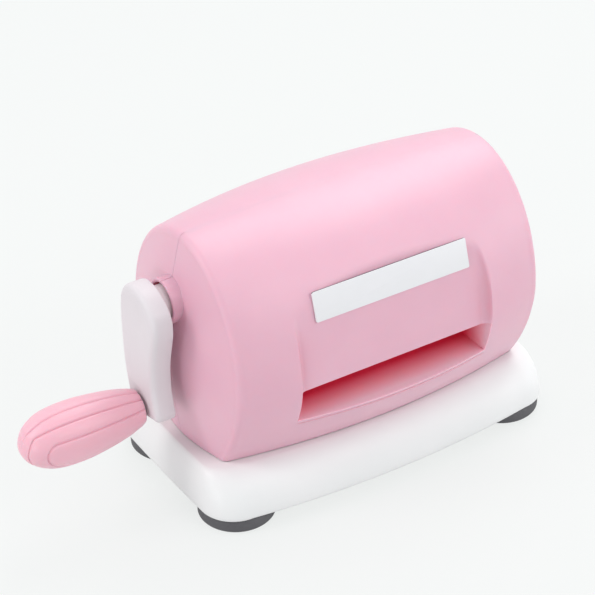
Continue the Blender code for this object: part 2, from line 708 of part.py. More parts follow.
def make_base():
    """The base moulding with its deck, the bottom plate, the feet and their screws."""
    shell = part("base_shell", loft_mesh("base_shell", skirt_rings(0, RIM_Z, DECK_Z)), WHITE)
    below_rim = base_outline(
        BASE_HALF_LENGTH - BASE_WALL,
        BASE_HALF_WIDTH - BASE_WALL,
        BASE_SIDE_BULGE,
        BASE_END_BULGE,
        BASE_CORNER - BASE_WALL,
        RIM_Z - OVERRUN,
    )
    inside = [below_rim] + skirt_rings(BASE_WALL, PLATE_TOP + GAP, DECK_Z - BASE_WALL)
    hollow = cutter("base_hollow", loft_mesh("base_hollow", inside))
    for name, (side_x, side_y) in CORNERS.items():
        x = side_x * FOOT_X
        y = side_y * FOOT_Y
        combine(hollow, upright_cutter(name + "_post", POST_RADIUS, x, y, PLATE_TOP + GAP, DECK_Z + OVERRUN))
    combine(shell, hollow)
    half_length = GEAR_RIGHT + GEAR_WIDTH / 2 + DECK_TO_GEAR
    half_width = FRAME_HALF_WIDTH + DECK_TO_FRAME
    opening = box_mesh((-half_length, -half_width, PLATE_TOP + OVERRUN), (half_length, half_width, DECK_Z + OVERRUN))
    combine(shell, cutter("deck_opening", opening))
    tip = FOOT_HOLLOW + FOOT_SCREW_LENGTH
    for name, (side_x, side_y) in CORNERS.items():
        x = side_x * FOOT_X
        y = side_y * FOOT_Y
        combine(shell, upright_cutter(name + "_post_hole", SCREW_RADIUS + GAP, x, y, RIM_Z - OVERRUN, tip + GAP))
        deck_hole = upright_cutter(
            name + "_deck_hole",
            SCREW_RADIUS + GAP,
            side_x * BASE_SCREW_X,
            side_y * BASE_SCREW_Y,
            DECK_Z - BASE_WALL - OVERRUN,
            DECK_Z + OVERRUN,
        )
        combine(shell, deck_hole)
    shade_smooth(shell)

    inset = BASE_WALL + GAP
    rim = base_outline(
        BASE_HALF_LENGTH - inset,
        BASE_HALF_WIDTH - inset,
        BASE_SIDE_BULGE,
        BASE_END_BULGE,
        BASE_CORNER - inset,
        0,
    )
    loops = [[(point.x, point.y) for point in rim]]
    for side_x, side_y in CORNERS.values():
        foot_place = (side_x * FOOT_X, side_y * FOOT_Y)
        loops.append(circle(SCREW_RADIUS + GAP, SCREW_SIDES, foot_place))
        flange_x = flange_middle(side_x)
        loops.append(circle(SCREW_RADIUS + GAP, SCREW_SIDES, (flange_x, side_y * FLANGE_SCREW_Y)))
    plate_mesh = outline_mesh("base_plate", loops, PLATE_THICKNESS)
    part("base_plate", plate_mesh, WHITE, (0, 0, RIM_Z + PLATE_THICKNESS / 2))

    for name, (side_x, side_y) in CORNERS.items():
        x = side_x * FOOT_X
        y = side_y * FOOT_Y
        bore = SCREW_RADIUS + GAP
        profile = [
            (FOOT_RADIUS - FOOT_EDGE, FOOT_HEIGHT),
            (FOOT_RADIUS, FOOT_HEIGHT - FOOT_EDGE),
            (FOOT_RADIUS, FOOT_EDGE),
            (FOOT_RADIUS - FOOT_EDGE, 0),
            (FOOT_RADIUS - FOOT_RIM, 0),
            (FOOT_RADIUS - FOOT_RIM - FOOT_EDGE, FOOT_HOLLOW),
            (bore, FOOT_HOLLOW),
            (bore, FOOT_HEIGHT),
        ]
        turned("foot_" + name, profile, RUBBER, (x, y, 0), UPRIGHT, FOOT_SIDES)
        seat = (x, y, FOOT_HOLLOW - GAP)
        screw_part("foot_screw_" + name, FOOT_SCREW_LENGTH, seat, (math.pi, 0, 0))
        under_deck = (side_x * BASE_SCREW_X, side_y * BASE_SCREW_Y, DECK_Z - BASE_WALL - GAP)
        screw_part("base_screw_" + name, BASE_SCREW_LENGTH, under_deck, (math.pi, 0, 0))
        flange_top = (flange_middle(side_x), side_y * FLANGE_SCREW_Y, PLATE_TOP + GAP + FLANGE_THICKNESS + GAP)
        screw_part("frame_screw_" + name, FLANGE_THICKNESS + PLATE_THICKNESS, flange_top, UPRIGHT)


def flange_middle(side_x):
    """Where the screws of a side plate's flange stand along the machine."""
    outer = FRAME_RIGHT_OUTER if side_x > 0 else FRAME_LEFT_OUTER
    return outer + side_x * FLANGE_LENGTH / 2


def make_frames():
    """The steel side plates, their flanges, and the riveted pillars between them."""
    low_z = PLATE_TOP + GAP
    for name, side_x, inner, outer, top in (
        ("left", -1, FRAME_LEFT, FRAME_LEFT_OUTER, CRANK_Z),
        ("right", 1, FRAME_RIGHT, FRAME_RIGHT_OUTER, ROD_HIGH_Z),
    ):
        high_z = top + FRAME_TOP_MARGIN
        loops = [rounded_rectangle((-high_z, -FRAME_HALF_WIDTH), (-low_z, FRAME_HALF_WIDTH), FRAME_CORNER)]
        for z in (LOWER_ROLLER_Z, UPPER_ROLLER_Z):
            loops.append(circle(BUSH_RADIUS + GAP, ROUND_SIDES, (-z, 0)))
        if side_x < 0:
            loops.append(circle(BUSH_RADIUS + GAP, ROUND_SIDES, (-CRANK_Z, 0)))
        for z in (ROD_LOW_Z, ROD_HIGH_Z):
            for side_y in (-1, 1):
                loops.append(circle(ROD_SPIGOT + GAP, SCREW_SIDES, (-z, side_y * ROD_Y)))
        mesh = outline_mesh(name + "_frame", loops, FRAME_THICKNESS)
        frame = part(name + "_frame", mesh, PLATED, ((inner + outer) / 2, 0, 0), ALONG_X)
        near_x, far_x = sorted((inner, outer + side_x * FLANGE_LENGTH))
        flange_low = (near_x, -FLANGE_HALF_WIDTH, low_z)
        flange_mesh = box_mesh(flange_low, (far_x, FLANGE_HALF_WIDTH, low_z + FLANGE_THICKNESS))
        combine(frame, cutter(name + "_flange", flange_mesh), "UNION")
        for side_y in (-1, 1):
            hole = upright_cutter(
                "%s_flange_hole_%d" % (name, side_y),
                SCREW_RADIUS + GAP,
                flange_middle(side_x),
                side_y * FLANGE_SCREW_Y,
                low_z - OVERRUN,
                low_z + OVERRUN,
            )
            combine(frame, hole)

    middle = (FRAME_LEFT + FRAME_RIGHT) / 2
    half = (FRAME_RIGHT - FRAME_LEFT) / 2 - GAP
    head = half + 2 * GAP + FRAME_THICKNESS
    profile = [
        (0, head + ROD_HEAD_THICKNESS),
        (ROD_HEAD, head + ROD_HEAD_THICKNESS),
        (ROD_HEAD, head),
        (ROD_SPIGOT, head),
        (ROD_SPIGOT, half),
        (ROD_RADIUS, half),
    ]
    whole = profile + [(radius, -height) for radius, height in reversed(profile)]
    for level, z in (("low", ROD_LOW_Z), ("high", ROD_HIGH_Z)):
        for row, side_y in (("front", -1), ("rear", 1)):
            turned("tie_rod_%s_%s" % (level, row), whole, PLATED, (middle, side_y * ROD_Y, z), ALONG_X, SCREW_SIDES)


def bush(name, side_x, inner, z):
    """A flanged bush in a side plate, with its flange on the roller's side."""
    flange_end = -GAP - BUSH_FLANGE
    profile = [
        (BUSH_RADIUS, FRAME_THICKNESS),
        (BUSH_RADIUS, -GAP),
        (BUSH_FLANGE_RADIUS, -GAP),
        (BUSH_FLANGE_RADIUS, flange_end),
        (BORE_RADIUS, flange_end),
        (BORE_RADIUS, FRAME_THICKNESS),
    ]
    turn = (0, side_x * math.pi / 2, 0)
    return turned(name, profile, NYLON, (inner, 0, z), turn)


def make_rollers():
    """Two rollers, each a steel sleeve on its shaft, with a bush in each side plate."""
    low_x = FRAME_LEFT + 2 * GAP + BUSH_FLANGE
    high_x = FRAME_RIGHT - 2 * GAP - BUSH_FLANGE
    middle = (low_x + high_x) / 2
    half = (high_x - low_x) / 2
    gear_end_left = GEAR_LEFT - GEAR_WIDTH / 2 - GAP
    gear_end_right = GEAR_RIGHT + GEAR_WIDTH / 2 + GAP
    for level, z in (("upper", UPPER_ROLLER_Z), ("lower", LOWER_ROLLER_Z)):
        left_end = gear_end_left if level == "upper" else FRAME_LEFT_OUTER - GAP
        axis_middle = (left_end + gear_end_right) / 2
        reach = (gear_end_right - left_end) / 2
        shaft = [
            (0, reach),
            (SHAFT_RADIUS - GAP, reach),
            (SHAFT_RADIUS, reach - GAP),
            (SHAFT_RADIUS, GAP - reach),
            (SHAFT_RADIUS - GAP, -reach),
            (0, -reach),
        ]
        turned(level + "_shaft", shaft, STEEL, (axis_middle, 0, z), ALONG_X)
        roller = [
            (ROLLER_RADIUS - GAP, half),
            (ROLLER_RADIUS, half - GAP),
            (ROLLER_RADIUS, GAP - half),
            (ROLLER_RADIUS - GAP, -half),
            (BORE_RADIUS, -half),
            (BORE_RADIUS, half),
        ]
        turned(level + "_roller", roller, STEEL, (middle, 0, z), ALONG_X, ROLLER_SIDES)
        bush(level + "_left_bush", -1, FRAME_LEFT, z)
        bush(level + "_right_bush", 1, FRAME_RIGHT, z)


def tooth_half_angle(radius, teeth, module):
    """Half the angle that an involute tooth takes up at a radius."""
    pitch_radius = module * teeth / 2
    base_radius = pitch_radius * math.cos(PRESSURE_ANGLE)
    roll = math.acos(min(1, base_radius / radius))
    at_pitch = math.pi / (2 * teeth) - BACKLASH / (4 * pitch_radius)
    return at_pitch + math.tan(PRESSURE_ANGLE) - PRESSURE_ANGLE - math.tan(roll) + roll


def gear(name, teeth, module, bore, x, z, phase, finish):
    """A spur gear on an axis along the machine; a tooth points down where the phase is zero."""
    pitch_radius = module * teeth / 2
    root = pitch_radius - ROOT_SHARE * module
    tip = pitch_radius + TIP_SHARE * module
    points = []
    for tooth in range(teeth):
        middle = phase + 2 * math.pi * tooth / teeth
        flank = [(radius, tooth_half_angle(radius, teeth, module)) for radius in (root, pitch_radius, tip)]
        for radius, half_angle in flank:
            points.append((radius * math.cos(middle - half_angle), radius * math.sin(middle - half_angle)))
        for radius, half_angle in reversed(flank):
            points.append((radius * math.cos(middle + half_angle), radius * math.sin(middle + half_angle)))
    mesh = outline_mesh(name, [points, circle(bore, ROUND_SIDES)], GEAR_WIDTH)
    return part(name, mesh, finish, (x, 0, z), ALONG_X)


def make_gears():
    """The crank's pinion and its gear on the left, and the two equal gears on the right."""
    gear("drive_pinion", PINION_TEETH, DRIVE_MODULE, BORE_RADIUS, GEAR_LEFT, CRANK_Z, math.pi / PINION_TEETH, STEEL)
    gear("drive_gear", DRIVE_TEETH, DRIVE_MODULE, BORE_RADIUS, GEAR_LEFT, UPPER_ROLLER_Z, 0, NYLON)
    gear("upper_sync_gear", SYNC_TEETH, SYNC_MODULE, BORE_RADIUS, GEAR_RIGHT, UPPER_ROLLER_Z, 0, NYLON)
    lower_phase = math.pi / SYNC_TEETH
    gear("lower_sync_gear", SYNC_TEETH, SYNC_MODULE, BORE_RADIUS, GEAR_RIGHT, LOWER_ROLLER_Z, lower_phase, NYLON)


def smooth_loop(corners, steps):
    """Points of a smooth closed curve through the given ones."""
    count = len(corners)
    points = []
    for index in range(count):
        before, start, end, after = (Vector(corners[(index + shift) % count]) for shift in (-1, 0, 1, 2))
        for step in range(steps):
            t = step / steps
            point = 2 * start + (end - before) * t
            point += (2 * before - 5 * start + 4 * end - after) * t * t
            point += (3 * start - before - 3 * end + after) * t * t * t
            points.append(tuple(point / 2))
    return points


def make_crank():
    """The drive shaft with its bushes and clip, the arm, and the grip on its pin."""
    edge = [(down * CRANK_THROW, across * ARM_HEAD_RADIUS) for across, down in ARM_EDGE_SHARES]
    arm_mesh = outline_mesh("crank_arm", [smooth_loop(edge, 2)], ARM_THICKNESS)
    arm_middle = (ARM_INNER + ARM_OUTER) / 2
    arm = part("crank_arm", arm_mesh, PALE_GREY, (arm_middle, 0, CRANK_Z), ALONG_X)
    bevel = arm.modifiers.new("Round edge", "BEVEL")
    bevel.width = ARM_EDGE
    bevel.segments = 2
    bevel.limit_method = "ANGLE"
    bevel.angle_limit = EDGE_ANGLE
    flange_face = POCKET_X - GAP - HUB_BUSH_FLANGE
    collar_end = flange_face - GAP
    collar = axle_cutter("arm_collar", COLLAR_RADIUS, 0, CRANK_Z, ARM_INNER - ARM_EDGE, collar_end)
    combine(arm, collar, "UNION")
    square = SQUARE_SIZE / 2 + GAP
    square_tip = ARM_INNER - SQUARE_IN_ARM
    socket = box_mesh((square_tip - GAP, -square, CRANK_Z - square), (collar_end + OVERRUN, square, CRANK_Z + square))
    combine(arm, cutter("shaft_socket", socket))
    pin_low = ARM_OUTER - OVERRUN
    pin_high = ARM_OUTER + GRIP_PIN_IN_ARM + GAP
    combine(arm, axle_cutter("pin_socket", GRIP_PIN_RADIUS + GAP, 0, GRIP_Z, pin_low, pin_high))

    profile = [
        (HUB_BUSH_RADIUS, HUB_WALL_X - flange_face),
        (HUB_BUSH_RADIUS, HUB_BUSH_FLANGE),
        (HUB_BUSH_FLANGE_RADIUS, HUB_BUSH_FLANGE),
        (HUB_BUSH_FLANGE_RADIUS, 0),
        (BORE_RADIUS, 0),
        (BORE_RADIUS, HUB_WALL_X - flange_face),
    ]
    turned("hub_bush", profile, NYLON, (flange_face, 0, CRANK_Z), ALONG_X)
    bush("crank_bush", -1, FRAME_LEFT, CRANK_Z)

    round_start = collar_end + GAP
    groove_near = FRAME_LEFT + GAP + BUSH_FLANGE + GAP
    groove_far = groove_near + CLIP_THICKNESS + 2 * GAP
    shaft_end = groove_far + 2 * CLIP_THICKNESS
    groove_radius = SHAFT_RADIUS - CLIP_GROOVE
    profile = [
        (0, shaft_end - round_start),
        (SHAFT_RADIUS, shaft_end - round_start),
        (SHAFT_RADIUS, groove_far - round_start),
        (groove_radius, groove_far - round_start),
        (groove_radius, groove_near - round_start),
        (SHAFT_RADIUS, groove_near - round_start),
        (SHAFT_RADIUS, 0),
        (0, 0),
    ]
    shaft = turned("drive_shaft", profile, STEEL, (round_start, 0, CRANK_Z), ALONG_X)
    half = SQUARE_SIZE / 2
    square_end = box_mesh((square_tip, -half, CRANK_Z - half), (round_start + GEAR_TO_FRAME, half, CRANK_Z + half))
    combine(shaft, cutter("square_end", square_end), "UNION")

    clip_low = groove_near + GAP
    clip_bore = groove_radius + GAP
    clip_place = (clip_low, 0, CRANK_Z)
    clip = sleeve("shaft_clip", CLIP_RADIUS, clip_bore, 0, CLIP_THICKNESS, PLATED, clip_place, ALONG_X)
    mouth = box_mesh(
        (clip_low - OVERRUN, -clip_bore, CRANK_Z - CLIP_RADIUS - OVERRUN),
        (clip_low + OVERRUN, clip_bore, CRANK_Z),
    )
    combine(clip, cutter("clip_mouth", mouth))

    bore = GRIP_PIN_RADIUS + GAP
    bore_end = GRIP_PIN_REACH + WASHER_THICKNESS
    outside = [(radius * GRIP_RADIUS, length * GRIP_LENGTH) for length, radius in GRIP_SHARES]
    profile = [(0, GRIP_LENGTH)] + outside + [(bore, 0), (bore, bore_end), (0, bore_end)]
    turned("crank_grip", profile, GRIP_PINK, (GRIP_ROOT, 0, GRIP_Z), TOWARDS_GRIP, ROLLER_SIDES)
    pin = [
        (0, GRIP_PIN_REACH),
        (GRIP_PIN_RADIUS, GRIP_PIN_REACH),
        (GRIP_PIN_RADIUS, -GRIP_PIN_IN_ARM),
        (0, -GRIP_PIN_IN_ARM),
    ]
    turned("grip_pin", pin, STEEL, (ARM_OUTER, 0, GRIP_Z), TOWARDS_GRIP)
    washer_place = (ARM_OUTER - GAP, 0, GRIP_Z)
    sleeve("grip_washer", WASHER_RADIUS, bore, 0, WASHER_THICKNESS, PALE_GREY, washer_place, TOWARDS_GRIP)


def make_name_plate():
    """A thin bare plate that leans with the panel."""
    slope = (NAME_CENTRE_Z - PANEL_UPRIGHT_HEIGHT) / PANEL_RADIUS
    lean = math.atan(slope)
    away = NAME_THICKNESS / 2 + GAP
    y = -panel_front(NAME_CENTRE_Z) - away * math.cos(lean)
    z = NAME_CENTRE_Z + away * math.sin(lean)
    half = Vector((NAME_RIGHT - NAME_LEFT, NAME_THICKNESS, NAME_HEIGHT)) / 2
    mesh = box_mesh(-half, half)
    plate = part("name_plate", mesh, WHITE, ((NAME_LEFT + NAME_RIGHT) / 2, y, z), (-lean, 0, 0))
    bevel = plate.modifiers.new("Corners", "BEVEL")
    bevel.width = NAME_EDGE
    bevel.segments = 1


make_base()
make_housing()
make_frames()
make_rollers()
make_gears()
make_crank()
make_name_plate()
bpy.context.view_layer.update()
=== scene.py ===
# %% [markdown]
# # A hand-cranked die cutting machine
#
# The machine is a pink barrel on a white base. A crank on its left end turns two steel rollers,
# and a stack of plates goes through the slot between them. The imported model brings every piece
# in its true place, in metres. This lesson gives each piece that shows its moulded form and its
# finish, and leaves the plain inner pieces as they come, with better materials.

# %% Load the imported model
import math

import bmesh
import bpy
from mathutils import Matrix, Vector
from mathutils.kdtree import KDTree


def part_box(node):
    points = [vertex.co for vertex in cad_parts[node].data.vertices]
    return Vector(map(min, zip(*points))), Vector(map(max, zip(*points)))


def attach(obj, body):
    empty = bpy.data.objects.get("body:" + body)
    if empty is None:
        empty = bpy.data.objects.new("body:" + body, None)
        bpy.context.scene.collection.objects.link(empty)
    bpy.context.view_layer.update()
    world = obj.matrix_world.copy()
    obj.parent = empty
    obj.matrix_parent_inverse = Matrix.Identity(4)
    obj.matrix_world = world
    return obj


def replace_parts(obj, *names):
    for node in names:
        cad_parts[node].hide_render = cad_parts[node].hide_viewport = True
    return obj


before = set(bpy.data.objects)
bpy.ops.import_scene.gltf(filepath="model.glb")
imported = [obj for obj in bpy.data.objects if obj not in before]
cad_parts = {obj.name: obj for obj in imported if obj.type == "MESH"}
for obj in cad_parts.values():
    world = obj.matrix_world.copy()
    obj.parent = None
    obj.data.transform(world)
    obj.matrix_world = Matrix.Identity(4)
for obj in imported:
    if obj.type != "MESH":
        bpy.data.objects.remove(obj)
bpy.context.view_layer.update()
print("loaded", len(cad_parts), "pieces")

# %% [markdown]
# ## The camera
#
# The photograph looks down on the machine from its front left, through a fairly long lens. A
# camera can be aimed with a Track To constraint, but a fixed matrix is clearer: its columns are
# the camera's right, its up and its back, so a small roll can be kept as well.

# %% Camera
MM = 0.001
PHOTO_WIDTH = 595
CAMERA_TURN = math.radians(-31.459)
CAMERA_RISE = math.radians(33.062)
CAMERA_ROLL = math.radians(-1.387)
CAMERA_DISTANCE = 1028.15 * MM
CAMERA_TARGET = Vector((15.4, 0, 79.07)) * MM
FOCAL_PIXELS = 2224.57
SENSOR_WIDTH = 36


def linked(name, data):
    """An object for a camera, a lamp or a mesh, linked to the scene."""
    made = bpy.data.objects.new(name, data)
    bpy.context.scene.collection.objects.link(made)
    return made


camera_data = bpy.data.cameras.new("camera")
camera = linked("camera", camera_data)
bpy.context.scene.camera = camera
camera_data.sensor_width = SENSOR_WIDTH
camera_data.lens = SENSOR_WIDTH * FOCAL_PIXELS / PHOTO_WIDTH
camera_data.clip_start = 50 * MM
back = Vector((
    math.sin(CAMERA_TURN) * math.cos(CAMERA_RISE),
    -math.cos(CAMERA_TURN) * math.cos(CAMERA_RISE),
    math.sin(CAMERA_RISE),
))
level = Vector((math.cos(CAMERA_TURN), math.sin(CAMERA_TURN), 0))
level_up = back.cross(level)
right = level * math.cos(CAMERA_ROLL) + level_up * math.sin(CAMERA_ROLL)
up = back.cross(right)
turn = Matrix((right, up, back)).transposed().to_4x4()
camera.matrix_world = Matrix.Translation(CAMERA_TARGET + back * CAMERA_DISTANCE) @ turn
print("camera at", [round(value, 3) for value in camera.location])

# %% [markdown]
# ## Helpers for meshes
#
# Most of the outer pieces are sheets of plastic bent in two directions. A grid from
# `bmesh.ops.create_grid` is a good start for such a sheet: each of its corners is moved to the
# place that a few named curves give, and corners that fall together are merged. Turned pieces
# start from a profile of a few points and one full spin.

# %% Mesh helpers
MERGE = 0.002 * MM
# Each axis a profile can turn round, and the direction in which its radius is drawn
AXES = {
    "X": (Vector((1, 0, 0)), Vector((0, 0, 1))),
    "Y": (Vector((0, 1, 0)), Vector((0, 0, 1))),
    "Z": (Vector((0, 0, 1)), Vector((1, 0, 0))),
}


def mesh_of(name, shape):
    """Turn a bmesh into a mesh."""
    mesh = bpy.data.meshes.new(name)
    shape.to_mesh(mesh)
    shape.free()
    return mesh


def finished(name, mesh, body, finish, smooth_angle=35):
    """Make an object of a mesh, shade it, give it a finish and let it ride on a body."""
    mesh.shade_smooth()
    mesh.set_sharp_from_angle(angle=math.radians(smooth_angle))
    mesh.materials.append(finish)
    piece = linked(name, mesh)
    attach(piece, body)
    return piece


def new_piece(name, shape, body, finish, smooth_angle=35):
    """A finished piece made of a bmesh."""
    return finished(name, mesh_of(name, shape), body, finish, smooth_angle)


def new_corners(made):
    """The corners among what a bmesh operator made."""
    return [item for item in made["geom"] if isinstance(item, bmesh.types.BMVert)]


def open_rim(shape):
    """The edges round a shape's holes."""
    return [edge for edge in shape.edges if edge.is_boundary]


def cut_off(shape, point, direction):
    """Take away what lies past a plane through a point."""
    bmesh.ops.bisect_plane(
        shape, geom=shape.verts[:] + shape.edges[:] + shape.faces[:],
        plane_co=point, plane_no=direction, clear_outer=True,
    )


def bent_grid(columns, rows, place):
    """A grid whose corners are moved to place(column, row)."""
    shape = bmesh.new()
    bmesh.ops.create_grid(shape, x_segments=columns, y_segments=rows, size=0.5)
    for corner in shape.verts:
        column = round((corner.co.x + 0.5) * columns)
        row = round((corner.co.y + 0.5) * rows)
        corner.co = place(column, row)
    bmesh.ops.remove_doubles(shape, verts=shape.verts, dist=MERGE)
    bmesh.ops.dissolve_degenerate(shape, edges=shape.edges, dist=MERGE)
    bmesh.ops.recalc_face_normals(shape, faces=shape.faces)
    return shape


def spun(profile, centre, axis="X", steps=64):
    """Turn a profile of (radius, distance along the axis) points once round an axis."""
    shape = bmesh.new()
    along, out = AXES[axis]
    corners = [
        shape.verts.new(Vector(centre) + out * radius + along * height)
        for radius, height in profile
    ]
    edges = [shape.edges.new(pair) for pair in zip(corners, corners[1:])]
    if profile[0][0] > 0 and profile[-1][0] > 0:
        edges.append(shape.edges.new((corners[-1], corners[0])))
    bmesh.ops.spin(
        shape, geom=corners + edges, cent=centre, axis=along, angle=2 * math.pi, steps=steps,
        use_merge=True,
    )
    bmesh.ops.remove_doubles(shape, verts=shape.verts, dist=MERGE)
    bmesh.ops.recalc_face_normals(shape, faces=shape.faces)
    return shape


print("corners nearer than", MERGE / MM, "mm are merged")

# %% [markdown]
# A profile is a list of points, and nothing that comes out of a mould has a sharp one. So each
# corner of a profile is swapped for a small arc before it is spun. The arc never takes more than
# 45% of a side, which leaves the sides of a thin profile apart.

# %% Profile helpers
CORNER_SHARE = 0.45


def rounded_corner(before, corner, after, radius, steps):
    """Points of a small arc in place of a profile's corner."""
    corner = Vector(corner)
    first = (Vector(before) - corner).normalized() * radius
    last = (Vector(after) - corner).normalized() * radius
    shares = [step / steps for step in range(steps + 1)]
    return [tuple(corner + first * (1 - share) ** 2 + last * share ** 2) for share in shares]


def softened(profile, radius, closed=True, steps=4):
    """A profile with each of its corners made into a small arc."""
    points = []
    count = len(profile)
    for index, corner in enumerate(profile):
        if corner[0] == 0 or (not closed and index in (0, count - 1)):
            points.append(corner)
            continue
        before = profile[index - 1]
        after = profile[(index + 1) % count]
        sides = [(Vector(other) - Vector(corner)).length for other in (before, after)]
        reach = min(radius, *(CORNER_SHARE * side for side in sides))
        points.extend(rounded_corner(before, corner, after, reach, steps))
    return points


def stations(*runs):
    """Distances along a piece: (start, then pairs of next place and number of steps)."""
    places = [runs[0]]
    for end, steps in runs[1:]:
        start = places[-1]
        places.extend(start + (end - start) * step / steps for step in range(1, steps + 1))
    return places


def quarter(steps, first=0):
    """The angles of a quarter turn in equal steps."""
    return [math.pi / 2 * step / steps for step in range(first, steps + 1)]


square = [(1, 0), (2, 0), (2, 1), (1, 1)]
print("a square with soft corners:", len(softened(square, 0.1)), "points")

# %% [markdown]
# ## Finishes
#
# Every plastic piece came out of a steel mould with a fine eroded texture, so its surface has
# a grain of about a millimetre that softens the highlight, and a faint unevenness of colour.
# That effect is one node group, used with other values in each plastic. The rollers are ground
# steel with rings from the grinding wheel, and the feet are rubber with a little dust.

# %% Node helpers
def linear(value):
    """An sRGB value from 0 to 255 as linear light."""
    share = value / 255
    return share / 12.92 if share <= 0.04045 else ((share + 0.055) / 1.055) ** 2.4


def tint(red, green, blue):
    """A colour of three sRGB values, as a shader takes it."""
    return (linear(red), linear(green), linear(blue), 1)


def feed(tree, value, target):
    """Link a socket to an input, or write a plain value there."""
    if isinstance(value, bpy.types.NodeSocket):
        tree.links.new(value, target)
    else:
        target.default_value = value


def noise_node(tree, places, scale, detail, rough):
    """A noise texture's value."""
    made = tree.nodes.new("ShaderNodeTexNoise")
    made.inputs["Detail"].default_value = detail
    made.inputs["Roughness"].default_value = rough
    feed(tree, places, made.inputs["Vector"])
    feed(tree, scale, made.inputs["Scale"])
    return made.outputs["Fac"]


def range_node(tree, value, low, high, from_low, from_high):
    """Map a value from one range to another, and hold it inside the new one."""
    made = tree.nodes.new("ShaderNodeMapRange")
    feed(tree, value, made.inputs["Value"])
    limits = {"From Min": from_low, "From Max": from_high, "To Min": low, "To Max": high}
    for label, limit in limits.items():
        made.inputs[label].default_value = limit
    return made.outputs["Result"]


def mix_node(tree, factor, first, second):
    """A mix of two colours."""
    made = tree.nodes.new("ShaderNodeMix")
    made.data_type = "RGBA"
    feed(tree, factor, made.inputs["Factor"])
    feed(tree, first, made.inputs["A"])
    feed(tree, second, made.inputs["B"])
    return made.outputs["Result"]


def math_node(tree, operation, first, second=0.0, clamp=False):
    """A sum, a product or the like of two values."""
    made = tree.nodes.new("ShaderNodeMath")
    made.operation = operation
    made.use_clamp = clamp
    feed(tree, first, made.inputs[0])
    feed(tree, second, made.inputs[1])
    return made.outputs["Value"]


def object_places(tree):
    """Coordinates that stay with the piece."""
    return tree.nodes.new("ShaderNodeTexCoord").outputs["Object"]


print("mid grey in linear light:", round(linear(128), 3))

# %% [markdown]
# Plastic and metal share their outer form. A group makes a colour, a share of roughness and a
# height, and a material feeds these into its Principled shader.

# %% Finish helpers
def finish_group(name, second_colour, scales):
    """A node group, with two colours and some scales going in."""
    group = bpy.data.node_groups.new(name, "ShaderNodeTree")
    for label in ("Colour", second_colour):
        group.interface.new_socket(name=label, in_out="INPUT", socket_type="NodeSocketColor")
    for label, value in scales.items():
        made = group.interface.new_socket(name=label, in_out="INPUT", socket_type="NodeSocketFloat")
        made.default_value = value
    return group, group.nodes.new("NodeGroupInput").outputs, object_places(group)


def give(group, colour, rough_share, height):
    """Send what a shader needs out of a finish group."""
    out = group.nodes.new("NodeGroupOutput")
    results = (("Colour", "Color", colour), ("Rough Share", "Float", rough_share),
               ("Height", "Float", height))
    for label, kind, result in results:
        group.interface.new_socket(name=label, in_out="OUTPUT", socket_type="NodeSocket" + kind)
        feed(group, result, out.inputs[label])


def finish_material(name, group, values, rough, bump, bump_depth):
    """A material that feeds a finish group into its Principled shader."""
    made = bpy.data.materials.new(name)
    made.use_nodes = True
    tree = made.node_tree
    shader = tree.nodes["Principled BSDF"]
    node = tree.nodes.new("ShaderNodeGroup")
    node.node_tree = group
    for label, value in values.items():
        node.inputs[label].default_value = value
    relief = tree.nodes.new("ShaderNodeBump")
    relief.inputs["Strength"].default_value = bump
    relief.inputs["Distance"].default_value = bump_depth
    feed(tree, node.outputs["Height"], relief.inputs["Height"])
    spread = range_node(tree, node.outputs["Rough Share"], rough[0], rough[1], 0.0, 1.0)
    feed(tree, node.outputs["Colour"], shader.inputs["Base Color"])
    feed(tree, spread, shader.inputs["Roughness"])
    feed(tree, relief.outputs["Normal"], shader.inputs["Normal"])
    made.diffuse_color = values["Colour"]
    return made


print("node groups so far:", len(bpy.data.node_groups))

# %% [markdown]
# The plastics differ in colour, gloss and how deep the light goes into them. The pink ones let it
# go a few millimetres deep and have a thin clear skin, which is the broad soft sheen on the
# barrel. Colours are written as they show, from 0 to 255.

# %% Plastics
COAT_ROUGHNESS = 0.45
SCATTER_WEIGHT = 0.3
SCATTER_RADIUS = (1.0, 0.22, 0.3)
GRAIN_DEPTH = 0.1 * MM
GRAIN_SCALES = {"Grain Scale": 1100.0, "Mottle Scale": 35.0}

GRAIN_GROUP, inputs, places = finish_group("moulded_grain", "Shade", GRAIN_SCALES)
grain = noise_node(GRAIN_GROUP, places, inputs["Grain Scale"], 2.0, 0.6)
mottle = noise_node(GRAIN_GROUP, places, inputs["Mottle Scale"], 3.0, 0.5)
patches = range_node(GRAIN_GROUP, mottle, 0.0, 1.0, 0.3, 0.7)
rough_share = range_node(GRAIN_GROUP, grain, 0.0, 1.0, 0.3, 0.7)
mottled = mix_node(GRAIN_GROUP, patches, inputs["Colour"], inputs["Shade"])
give(GRAIN_GROUP, mottled, rough_share, grain)


def plastic(name, colour, shade, rough=(0.40, 0.5), grain_scale=1100.0, bump=0.12, ior=1.5,
            depth=0.0, coat=0.0):
    """A moulded plastic. The depth is how far light goes into it, the coat its clear skin."""
    values = {"Colour": tint(*colour), "Shade": tint(*shade), "Grain Scale": grain_scale}
    made = finish_material(name, GRAIN_GROUP, values, rough, bump, GRAIN_DEPTH)
    shader = made.node_tree.nodes["Principled BSDF"]
    shader.inputs["IOR"].default_value = ior
    shader.inputs["Coat Weight"].default_value = coat
    shader.inputs["Coat Roughness"].default_value = COAT_ROUGHNESS
    if depth:
        shader.inputs["Subsurface Weight"].default_value = SCATTER_WEIGHT
        shader.inputs["Subsurface Scale"].default_value = depth
        shader.inputs["Subsurface Radius"].default_value = SCATTER_RADIUS
    return made


